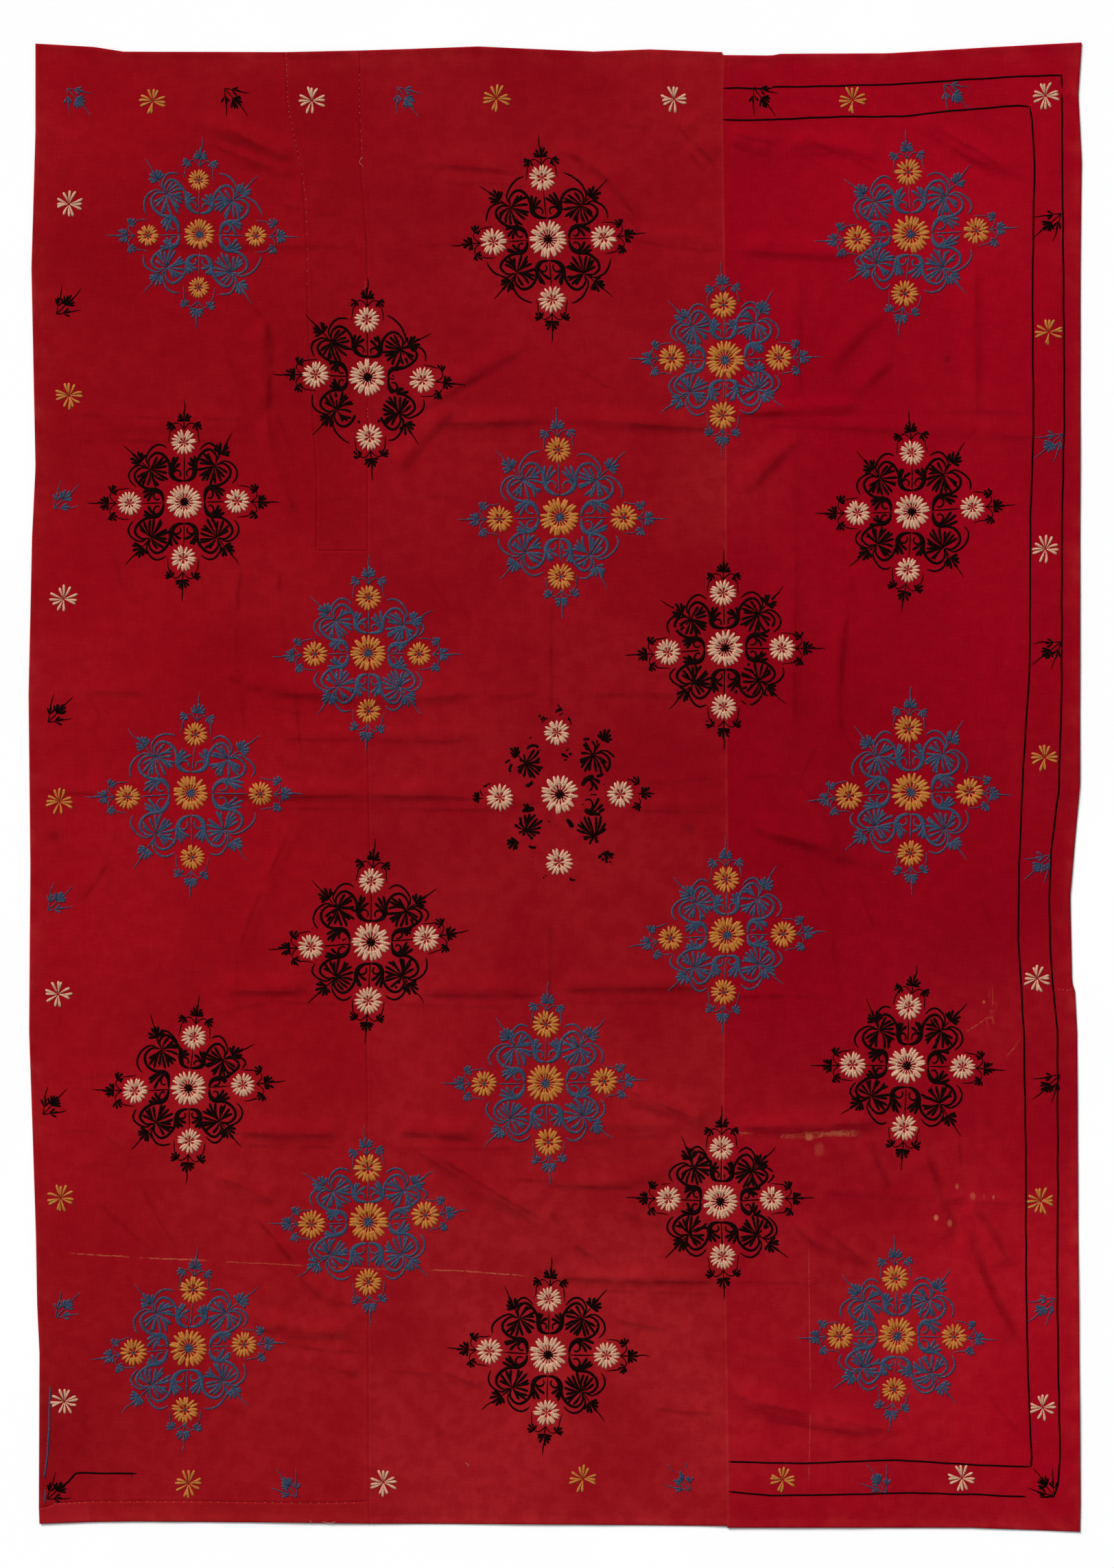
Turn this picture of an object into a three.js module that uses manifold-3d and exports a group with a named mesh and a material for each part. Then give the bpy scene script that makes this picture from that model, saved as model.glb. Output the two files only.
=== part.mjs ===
// A suzani: a large embroidered cloth sewn from red cotton panels, laid face up on a flat surface.
// Millimetres. +X is to the right of the cloth, +Y to its top edge and +Z up out of its face.
// The origin is at the middle of its underside.
// One folded cloth is made first, and each sewn piece is cut from it along its seams, so that
// the folds run on from piece to piece.

import * as THREE from "three";
import { mergeVertices } from "three/addons/utils/BufferGeometryUtils.js";
import Module from "manifold-3d";

const wasm = await Module();
wasm.setup();

// Driving sizes
const CLOTH_THICKNESS = 1.6; // cotton, its turned edges and the thread worked through it
const SEAM_GAP = 0.3; // between two pieces, where the seam's fold lies
const RIDGE_STEP = 48; // a fold's ridge is shaped in steps along it
const RIDGE_STRIPS = 6; // and in strips from one foot to the other
const CLOTH_WIDTH = 1880; // the uncut cloth, a little more than the finished one
const CLOTH_LENGTH = 2640;
const CUTTER_REACH = 20; // a cutting outline reaches this far above and below the surface
const FOLD_TAPER = 0.2; // share of a fold's length over which it rises at each end
const FOLD_UNEVENNESS = 0.22; // share of its height that a fold gains and loses along its length
const SWELLS_PER_FOLD = 1.5; // how often it does so

// Edges of the finished cloth, each from left to right or from top to bottom
const TOP_OF_LEFT = [[-909, 1300], [-806, 1294], [-755, 1286], [-472, 1285]];
const TOP_OF_INSERT = [[-472, 1285], [-341, 1288]];
const TOP_OF_CENTRE = [[-341, 1288], [-249, 1291], [-134, 1295], [68, 1286], [165, 1290], [292, 1285]];
const TOP_OF_RIGHT = [[292, 1280], [379, 1279], [393, 1282], [580, 1283], [769, 1294], [921, 1302]];
const RIGHT_EDGE = [
  [921, 1302], [915, 1211], [921, 1094], [919, 914], [918, 5], [901, -190], [904, -341],
  [909, -356], [913, -428], [915, -775], [919, -1250], [918, -1302],
];
const LEFT_EDGE = [
  [-909, 1300], [-909, 1146], [-916, 907], [-909, 560], [-915, 438], [-921, 163], [-918, -139],
  [-920, -428], [-908, -790], [-906, -905], [-902, -991], [-903, -1260],
];
const BOTTOM_OF_RIGHT = [[301, -1295], [436, -1295], [726, -1295], [918, -1302]];
const BOTTOM_OF_CENTRE = [[-324, -1288], [-249, -1288], [111, -1290], [301, -1292]];
const BOTTOM_OF_STRIP = [[-810, -1285], [-741, -1284], [-466, -1286], [-324, -1288]];
const BOTTOM_OF_PATCH = [[-902, -1288], [-810, -1285]];

// Seams between the pieces
const LEFT_SEAM_ABOVE_INSERT_END = [[-341, 1288], [-340, 1088], [-329, 954], [-327, 776], [-328, 413]];
const LEFT_SEAM_BELOW_INSERT_END = [
  [-328, 413], [-327, 56], [-322, -271], [-329, -428], [-327, -718], [-326, -1249],
];
const LEFT_SEAM_AT_STRIP = [[-326, -1249], [-324, -1288]];
const RIGHT_SEAM = [
  [292, 1280], [290, 1196], [297, 746], [297, 242], [301, -259], [294, -392], [291, -724],
  [296, -898], [301, -1208], [301, -1292],
];
const INSERT_SIDE = [
  [-472, 1285], [-466, 1181], [-443, 1088], [-434, 943], [-431, 776], [-416, 536], [-417, 413],
];
const INSERT_END = [[-417, 413], [-328, 413]];
const STRIP_SEAM = [[-814, -1249], [-659, -1248], [-425, -1252], [-326, -1249]];
const PATCH_TOP = [[-903, -1260], [-891, -1259], [-874, -1252], [-814, -1249]];
const PATCH_SIDE = [[-814, -1249], [-810, -1285]];

// Main folds. A fold is a soft ridge from (x0, y0) to (x1, y1). Its middle stands off the straight
// line by bow, it falls to nothing at reach on each side, and its crest lifts the cloth by rise.
const FOLD_COLUMNS = ["x0", "y0", "x1", "y1", "bow", "reach", "rise"];

// Creases across the cloth, left from lying folded
const STORAGE_FOLDS = [
  [-813, 947, -344, 947, 3, 30, 3],
  [111, 961, 270, 950, 0, 30, 3],
  [321, 940, 537, 929, 4, 30, 4],
  [-813, 628, -505, 628, 4, 38, 5],
  [-243, 632, -4, 644, 4, 32, 4],
  [3, 640, 277, 629, 4, 32, 4],
  [313, 654, 544, 661, 3, 32, 4],
  [349, 647, 826, 611, 6, 32, 4],
  [-574, 192, -134, 160, 22, 44, 5],
  [-480, 91, -76, 84, 4, 30, 3],
  [-610, -28, -155, -28, 3, 38, 5],
  [-155, -37, -20, -37, 0, 32, 4],
  [176, -36, 291, -36, 0, 30, 3],
  [-610, -372, -423, -365, 4, 38, 4],
  [-243, -370, -33, -372, 4, 38, 5],
  [3, -362, 277, -362, 4, 38, 5],
  [-567, -614, -365, -618, 3, 36, 6],
  [-308, -619, -40, -619, 3, 36, 6],
  [3, -594, 277, -594, 4, 32, 4],
  [306, -594, 580, -587, 4, 32, 4],
  [436, -696, 834, -728, 5, 30, 3],
  [3, -872, 277, -872, 6, 36, 5],
];

// Drawn folds, where the cloth pulls from a seam or a medallion
const DRAWN_FOLDS = [
  [-624, 1168, -452, 1094, 6, 34, 6],
  [-567, 1105, -452, 1066, 4, 30, 4],
  [-242, 1087, -40, 1076, 4, 30, 3],
  [3, 1109, 147, 979, 6, 34, 5],
  [226, 1175, 285, 1102, 3, 28, 3],
  [307, 1123, 408, 1094, 4, 30, 4],
  [408, 1094, 580, 1073, 10, 32, 5],
  [624, 1170, 812, 1066, 8, 36, 6],
  [-509, 821, -502, 654, 5, 32, 5],
  [-502, 654, -452, 474, 9, 32, 5],
  [-47, 774, -249, 647, 8, 36, 6],
  [-170, 668, -285, 546, 6, 32, 4],
  [580, 835, 472, 727, 6, 38, 5],
  [595, 756, 523, 677, 4, 32, 3],
  [436, 618, 321, 503, 6, 36, 5],
  [422, 943, 422, 5, 5, 30, 4],
  [739, 929, 739, 632, 4, 32, 4],
  [501, 308, 494, 77, 4, 28, 3],
  [436, 5, 523, -139, 6, 36, 5],
  [523, -139, 566, -248, 4, 32, 4],
  [350, -67, 508, -114, 6, 36, 4],
  [-441, -53, -552, -320, 8, 28, 3],
  [111, -529, 271, -587, 6, 36, 5],
  [-596, -680, -480, -725, 5, 32, 4],
  [-250, -623, -26, -757, 10, 38, 7],
  [3, -697, 212, -672, 14, 32, 4],
  [-495, -782, -372, -912, 8, 32, 4],
  [-531, -945, -340, -980, 8, 38, 6],
  [-452, -1006, -336, -1027, 4, 28, 3],
  [-250, -1027, -119, -1049, 5, 30, 3],
  [307, -1063, 573, -1128, 8, 38, 6],
  [631, -630, 688, -754, 5, 32, 4],
  [711, -790, 805, -955, 6, 38, 6],
  [400, -754, 559, -840, 6, 34, 4],
];

const FOLDS = [...STORAGE_FOLDS, ...DRAWN_FOLDS].map((row) =>
  Object.fromEntries(FOLD_COLUMNS.map((column, i) => [column, row[i]])),
);

// Height of a fold's crest at a share of its length, 0 at its two ends.
function crestRise(fold, share) {
  const taper = THREE.MathUtils.smoothstep(Math.min(share, 1 - share), 0, FOLD_TAPER);
  const uneven = 1 + FOLD_UNEVENNESS * Math.sin(SWELLS_PER_FOLD * 2 * Math.PI * share + fold.x0);
  return fold.rise * taper * uneven;
}

// A closed three.js geometry as a solid that can be cut.
function solidFrom(geometry) {
  geometry.deleteAttribute("normal");
  geometry.deleteAttribute("uv");
  const merged = mergeVertices(geometry);
  return new wasm.Manifold(
    new wasm.Mesh({
      numProp: 3,
      vertProperties: merged.attributes.position.array,
      triVerts: new Uint32Array(merged.index.array),
    }),
  );
}

// A cut solid as a three.js geometry.
function geometryFrom(solid) {
  const mesh = solid.getMesh();
  const geometry = new THREE.BufferGeometry();
  geometry.setAttribute("position", new THREE.BufferAttribute(mesh.vertProperties, mesh.numProp));
  geometry.setIndex(new THREE.BufferAttribute(mesh.triVerts, 1));
  geometry.computeVertexNormals();
  return geometry;
}

// The ridge that a fold makes, as a solid with a flat foot: its surface lies at level plus the
// fold's height, and the solid reaches down from there to floor.
function ridge(fold, level, floor) {
  const start = new THREE.Vector2(fold.x0, fold.y0);
  const along = new THREE.Vector2(fold.x1, fold.y1).sub(start);
  const aside = new THREE.Vector2(along.y, -along.x).normalize();
  const steps = Math.ceil(along.length() / RIDGE_STEP);
  const geometry = new THREE.BoxGeometry(1, 2, 1, steps, RIDGE_STRIPS, 1).translate(0.5, 0, 0);
  const points = geometry.attributes.position;
  for (let i = 0; i < points.count; i++) {
    const share = points.getX(i);
    const across = points.getY(i);
    const offset = fold.bow * 4 * share * (1 - share) - across * fold.reach;
    const place = start.clone().addScaledVector(along, share).addScaledVector(aside, offset);
    const height = crestRise(fold, share) * (1 + Math.cos(Math.PI * across)) / 2;
    points.setXYZ(i, place.x, place.y, points.getZ(i) > 0 ? level + height : floor);
  }
  return solidFrom(geometry);
}

// The whole cloth before it is cut: a thin sheet, flat on the surface and lifted along its folds.
function foldedCloth() {
  const sheet = new THREE.BoxGeometry(CLOTH_WIDTH, CLOTH_LENGTH, CLOTH_THICKNESS);
  sheet.translate(0, 0, CLOTH_THICKNESS / 2);
  let cloth = solidFrom(sheet);
  for (const fold of FOLDS) cloth = cloth.add(ridge(fold, CLOTH_THICKNESS, CLOTH_THICKNESS / 2));
  for (const fold of FOLDS) cloth = cloth.subtract(ridge(fold, 0, -CLOTH_THICKNESS));
  return cloth;
}

// Points of a piece's outline from its edges, in clockwise order. Shared corners count once.
function outlineOf(...edges) {
  const points = edges.flat().map(([x, y]) => new THREE.Vector2(x, y));
  return points.filter((point, i) => !point.equals(points.at(i - 1)));
}

// The side of a clockwise outline that faces into the piece, from one point to the next.
function inwards(from, to) {
  return new THREE.Vector2(to.y - from.y, from.x - to.x).normalize();
}

// The same outline drawn in by half a seam's gap.
function drawnIn(outline) {
  return outline.map((point, i) => {
    const first = inwards(outline.at(i - 1), point);
    const second = inwards(point, outline[(i + 1) % outline.length]);
    const middle = first.clone().add(second).normalize();
    return point.clone().addScaledVector(middle, SEAM_GAP / 2 / middle.dot(first));
  });
}

// A piece of the folded cloth inside an outline.
function cutFrom(cloth, outline) {
  const cutter = new THREE.ExtrudeGeometry(new THREE.Shape(drawnIn(outline)), {
    depth: 2 * CUTTER_REACH,
    bevelEnabled: false,
  });
  cutter.translate(0, 0, -CUTTER_REACH);
  return geometryFrom(cloth.intersect(solidFrom(cutter)));
}

const backwards = (edge) => [...edge].reverse();

const OUTLINES = {
  panel_left: outlineOf(
    TOP_OF_LEFT, INSERT_SIDE, INSERT_END, LEFT_SEAM_BELOW_INSERT_END,
    backwards(STRIP_SEAM), backwards(PATCH_TOP), backwards(LEFT_EDGE),
  ),
  insert_upper_left: outlineOf(
    TOP_OF_INSERT, LEFT_SEAM_ABOVE_INSERT_END, backwards(INSERT_END), backwards(INSERT_SIDE),
  ),
  panel_centre: outlineOf(
    TOP_OF_CENTRE, RIGHT_SEAM, backwards(BOTTOM_OF_CENTRE), backwards(LEFT_SEAM_AT_STRIP),
    backwards(LEFT_SEAM_BELOW_INSERT_END), backwards(LEFT_SEAM_ABOVE_INSERT_END),
  ),
  panel_right: outlineOf(TOP_OF_RIGHT, RIGHT_EDGE, backwards(BOTTOM_OF_RIGHT), backwards(RIGHT_SEAM)),
  strip_bottom_left: outlineOf(
    STRIP_SEAM, LEFT_SEAM_AT_STRIP, backwards(BOTTOM_OF_STRIP), backwards(PATCH_SIDE),
  ),
  patch_corner: outlineOf(PATCH_TOP, PATCH_SIDE, backwards(BOTTOM_OF_PATCH)),
};

const REDS = {
  panel_left: 0x8d0716,
  insert_upper_left: 0x890714,
  panel_centre: 0x8b0b17,
  panel_right: 0x8f0418,
  strip_bottom_left: 0x94131a,
  patch_corner: 0x9d1721,
};

const cotton = (colour) => new THREE.MeshStandardMaterial({ color: colour, roughness: 0.9, metalness: 0 });

const suzani = new THREE.Group();
const cloth = foldedCloth();
for (const [name, outline] of Object.entries(OUTLINES)) {
  const piece = new THREE.Mesh(cutFrom(cloth, outline), cotton(REDS[name]));
  piece.name = name;
  suzani.add(piece);
}

export default suzani;
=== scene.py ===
"""A suzani: an embroidered cloth sewn from red cotton panels, laid flat and face up.

Tables are in millimetres on the cloth, or in pixels of the 1624 x 2285 photograph where they say so.
A place is a complex number, x + y j, so that a turn is a product. Meshes are in metres.
"""

import math

import bpy
import numpy as np
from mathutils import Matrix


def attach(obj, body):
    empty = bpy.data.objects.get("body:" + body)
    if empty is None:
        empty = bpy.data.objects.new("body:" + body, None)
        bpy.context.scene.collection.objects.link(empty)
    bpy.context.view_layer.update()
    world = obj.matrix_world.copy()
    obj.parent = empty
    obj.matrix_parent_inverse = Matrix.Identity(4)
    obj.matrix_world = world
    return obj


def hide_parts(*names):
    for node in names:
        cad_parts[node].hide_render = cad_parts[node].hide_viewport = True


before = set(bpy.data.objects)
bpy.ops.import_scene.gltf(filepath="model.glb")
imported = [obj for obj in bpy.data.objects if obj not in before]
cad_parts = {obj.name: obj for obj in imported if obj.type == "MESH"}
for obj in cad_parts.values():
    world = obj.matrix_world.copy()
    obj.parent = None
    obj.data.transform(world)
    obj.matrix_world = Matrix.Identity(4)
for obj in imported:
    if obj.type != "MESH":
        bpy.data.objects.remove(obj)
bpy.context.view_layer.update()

MM = 0.001
PIXEL = 1.2  # millimetres of cloth in a pixel of the photograph
ORIGIN_PX = (809.3, 1147)  # the pixel at the cloth's origin
PHOTO_PX = (1624, 2285)


def from_photo(px, py):
    """The place on the cloth of a pixel of the photograph."""
    return complex(px - ORIGIN_PX[0], ORIGIN_PX[1] - py) * PIXEL


# Edges of the finished cloth, each from left to right or from top to bottom
TOP_OF_LEFT = [(-909, 1300), (-806, 1294), (-755, 1286), (-472, 1285)]
TOP_OF_INSERT = [(-472, 1285), (-341, 1288)]
TOP_OF_CENTRE = [(-341, 1288), (-249, 1291), (-134, 1295), (68, 1286), (165, 1290), (292, 1285)]
TOP_OF_RIGHT = [(292, 1280), (379, 1279), (393, 1282), (580, 1283), (769, 1294), (921, 1302)]
RIGHT_EDGE = [
    (921, 1302), (915, 1211), (921, 1094), (919, 914), (918, 5), (901, -190), (904, -341),
    (909, -356), (913, -428), (915, -775), (919, -1250), (918, -1302),
]
LEFT_EDGE = [
    (-909, 1300), (-909, 1146), (-916, 907), (-909, 560), (-915, 438), (-921, 163), (-918, -139),
    (-920, -428), (-908, -790), (-906, -905), (-902, -991), (-903, -1260), (-902, -1288),
]
BOTTOM_OF_RIGHT = [(301, -1295), (436, -1295), (726, -1295), (918, -1302)]
BOTTOM_OF_CENTRE = [(-324, -1288), (-249, -1288), (111, -1290), (301, -1292)]
BOTTOM_OF_STRIP = [(-810, -1285), (-741, -1284), (-466, -1286), (-324, -1288)]
BOTTOM_OF_PATCH = [(-902, -1288), (-810, -1285)]

# Seams between the pieces
LEFT_SEAM = [
    (-341, 1288), (-340, 1088), (-329, 954), (-327, 776), (-328, 413), (-327, 56), (-322, -271),
    (-329, -428), (-327, -718), (-326, -1249), (-324, -1288),
]
RIGHT_SEAM = [
    (292, 1280), (290, 1196), (297, 746), (297, 242), (301, -259), (294, -392), (291, -724),
    (296, -898), (301, -1208), (301, -1292),
]
INSERT_SIDE = [
    (-472, 1285), (-466, 1181), (-443, 1088), (-434, 943), (-431, 776), (-416, 536), (-417, 413),
]
INSERT_END = [(-417, 413), (-328, 413)]
STRIP_SEAM = [(-814, -1249), (-659, -1248), (-425, -1252), (-326, -1249)]
PATCH_TOP = [(-903, -1260), (-891, -1259), (-874, -1252), (-814, -1249)]
PATCH_SIDE = [(-814, -1249), (-810, -1285)]

HEMS = [
    TOP_OF_LEFT, TOP_OF_INSERT, TOP_OF_CENTRE, TOP_OF_RIGHT, RIGHT_EDGE, LEFT_EDGE,
    BOTTOM_OF_RIGHT, BOTTOM_OF_CENTRE, BOTTOM_OF_STRIP, BOTTOM_OF_PATCH,
]
SEAMS = [LEFT_SEAM, RIGHT_SEAM, INSERT_SIDE, INSERT_END, STRIP_SEAM, PATCH_TOP, PATCH_SIDE]

# Each sewn piece fills the space between its rails, which run down the cloth, and its levels, which
# run across it. The left panel lacks the corner that the insert takes up.
PIECES = {
    "cloth_left": {
        "node": "panel_left", "slot": "cotton_left", "corner_missing": True,
        "rails": [LEFT_EDGE, INSERT_SIDE, LEFT_SEAM],
        "levels": [PATCH_TOP + STRIP_SEAM, INSERT_END, TOP_OF_LEFT],
    },
    "cloth_insert": {
        "node": "insert_upper_left", "slot": "cotton_insert",
        "rails": [INSERT_SIDE, LEFT_SEAM], "levels": [INSERT_END, TOP_OF_INSERT],
    },
    "cloth_centre": {
        "node": "panel_centre", "slot": "cotton_centre",
        "rails": [LEFT_SEAM, RIGHT_SEAM], "levels": [BOTTOM_OF_CENTRE, TOP_OF_CENTRE],
    },
    "cloth_right": {
        "node": "panel_right", "slot": "cotton_right",
        "rails": [RIGHT_SEAM, RIGHT_EDGE], "levels": [BOTTOM_OF_RIGHT, TOP_OF_RIGHT],
    },
    "cloth_strip": {
        "node": "strip_bottom_left", "slot": "cotton_strip",
        "rails": [PATCH_SIDE, LEFT_SEAM], "levels": [BOTTOM_OF_STRIP, STRIP_SEAM],
    },
    "cloth_patch": {
        "node": "patch_corner", "slot": "cotton_patch",
        "rails": [LEFT_EDGE, PATCH_SIDE], "levels": [BOTTOM_OF_PATCH, PATCH_TOP],
    },
}

# Main folds: soft ridges from (x0, y0) to (x1, y1). A fold's middle stands off the straight line by
# bow, it falls to nothing at reach on each side, and its crest lifts the cloth by rise.
FOLDS = [
    (-813, 951, -344, 951, 3, 22, 1.2),
    (111, 970, 270, 958, 0, 26, 1.5),
    (321, 944, 537, 931, 4, 30, 2.8),
    (-813, 634, -505, 634, 4, 28, 1.8),
    (-243, 636, -4, 648, 4, 30, 3),
    (3, 644, 277, 633, 4, 30, 3),
    (313, 658, 544, 665, 3, 30, 3),
    (349, 651, 826, 615, 6, 30, 1.6),
    (-574, 196, -134, 165, 22, 42, 3),
    (-480, 96, -76, 90, 3, 26, 1.4),
    (-610, -10, -155, -10, 3, 34, 2.8),
    (-155, -24, -20, -24, 0, 30, 1.6),
    (176, -30, 291, -30, 0, 28, 1.3),
    (-590, -353, -423, -346, 4, 34, 3.2),
    (-243, -349, -33, -351, 4, 34, 2.5),
    (3, -343, 277, -343, 4, 34, 2.3),
    (-567, -600, -365, -604, 3, 32, 3.5),
    (-281, -597, -131, -603, 2, 30, 3.5),
    (3, -587, 277, -587, 4, 30, 2.4),
    (306, -594, 580, -587, 4, 32, 4),
    (436, -696, 834, -728, 5, 22, 1.2),
    (3, -854, 277, -858, 4, 30, 3.1),
    (-624, 1170, -452, 1096, 6, 32, 4.6),
    (-567, 1108, -452, 1069, 4, 28, 2.6),
    (-242, 1094, -40, 1084, 3, 26, 1.2),
    (3, 1120, 150, 990, -18, 28, 3.4),
    (226, 1175, 285, 1102, 3, 26, 1.5),
    (301, 1136, 384, 1116, 2, 28, 2),
    (397, 1122, 577, 1093, -14, 28, 2.8),
    (624, 1172, 812, 1070, 8, 34, 4.6),
    (-509, 821, -502, 654, 5, 28, 3.2),
    (-502, 654, -452, 474, 9, 28, 2.5),
    (-47, 774, -249, 647, 8, 34, 2.3),
    (-170, 668, -285, 546, 6, 32, 3),
    (580, 835, 472, 727, 6, 36, 2.4),
    (595, 756, 523, 677, 4, 32, 2.2),
    (436, 618, 321, 503, 6, 36, 3.2),
    (422, 943, 422, 5, 5, 24, 1.3),
    (737, 929, 737, 632, 4, 32, 2.2),
    (501, 308, 494, 77, 4, 28, 3),
    (436, 5, 523, -139, 6, 34, 3.4),
    (523, -139, 566, -248, 4, 28, 1.5),
    (350, -67, 508, -114, 6, 34, 3),
    (-441, -53, -552, -320, 8, 26, 1.2),
    (111, -529, 271, -587, 6, 36, 5),
    (-596, -680, -480, -725, 5, 30, 2.2),
    (-250, -623, -26, -757, 10, 36, 4.2),
    (3, -690, 212, -665, 12, 30, 2.5),
    (-495, -782, -372, -912, 8, 30, 3),
    (-521, -934, -347, -954, 4, 30, 4),
    (-452, -1006, -336, -1022, 4, 26, 1.3),
    (-250, -1018, -119, -1040, 5, 28, 1.4),
    (307, -1063, 573, -1128, 8, 38, 5),
    (637, -630, 699, -796, 4, 30, 4.5),
    (718, -718, 798, -844, 3, 28, 3.5),
    (538, -610, 582, -714, 3, 26, 3),
    (712, -770, 814, -978, 14, 34, 5),
    (400, -754, 552, -835, 6, 34, 3),
]
FOLD_TAPER = 0.2  # share of a fold's length over which it rises at each end
FOLD_UNEVENNESS = 0.22  # share of its height that a fold gains and loses along its length
SWELLS_PER_FOLD = 1.5  # how often it does so
FOLD_SHARPNESS = 1.6  # how much narrower than a plain wave its crest is
FOLD_LEAN = 0.4  # how much narrower than its reach a fold is on its shaded side, and wider on its lit one
LAMP_WAY = complex(-0.57, 0.82)  # from the cloth's middle towards the lamp

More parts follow.
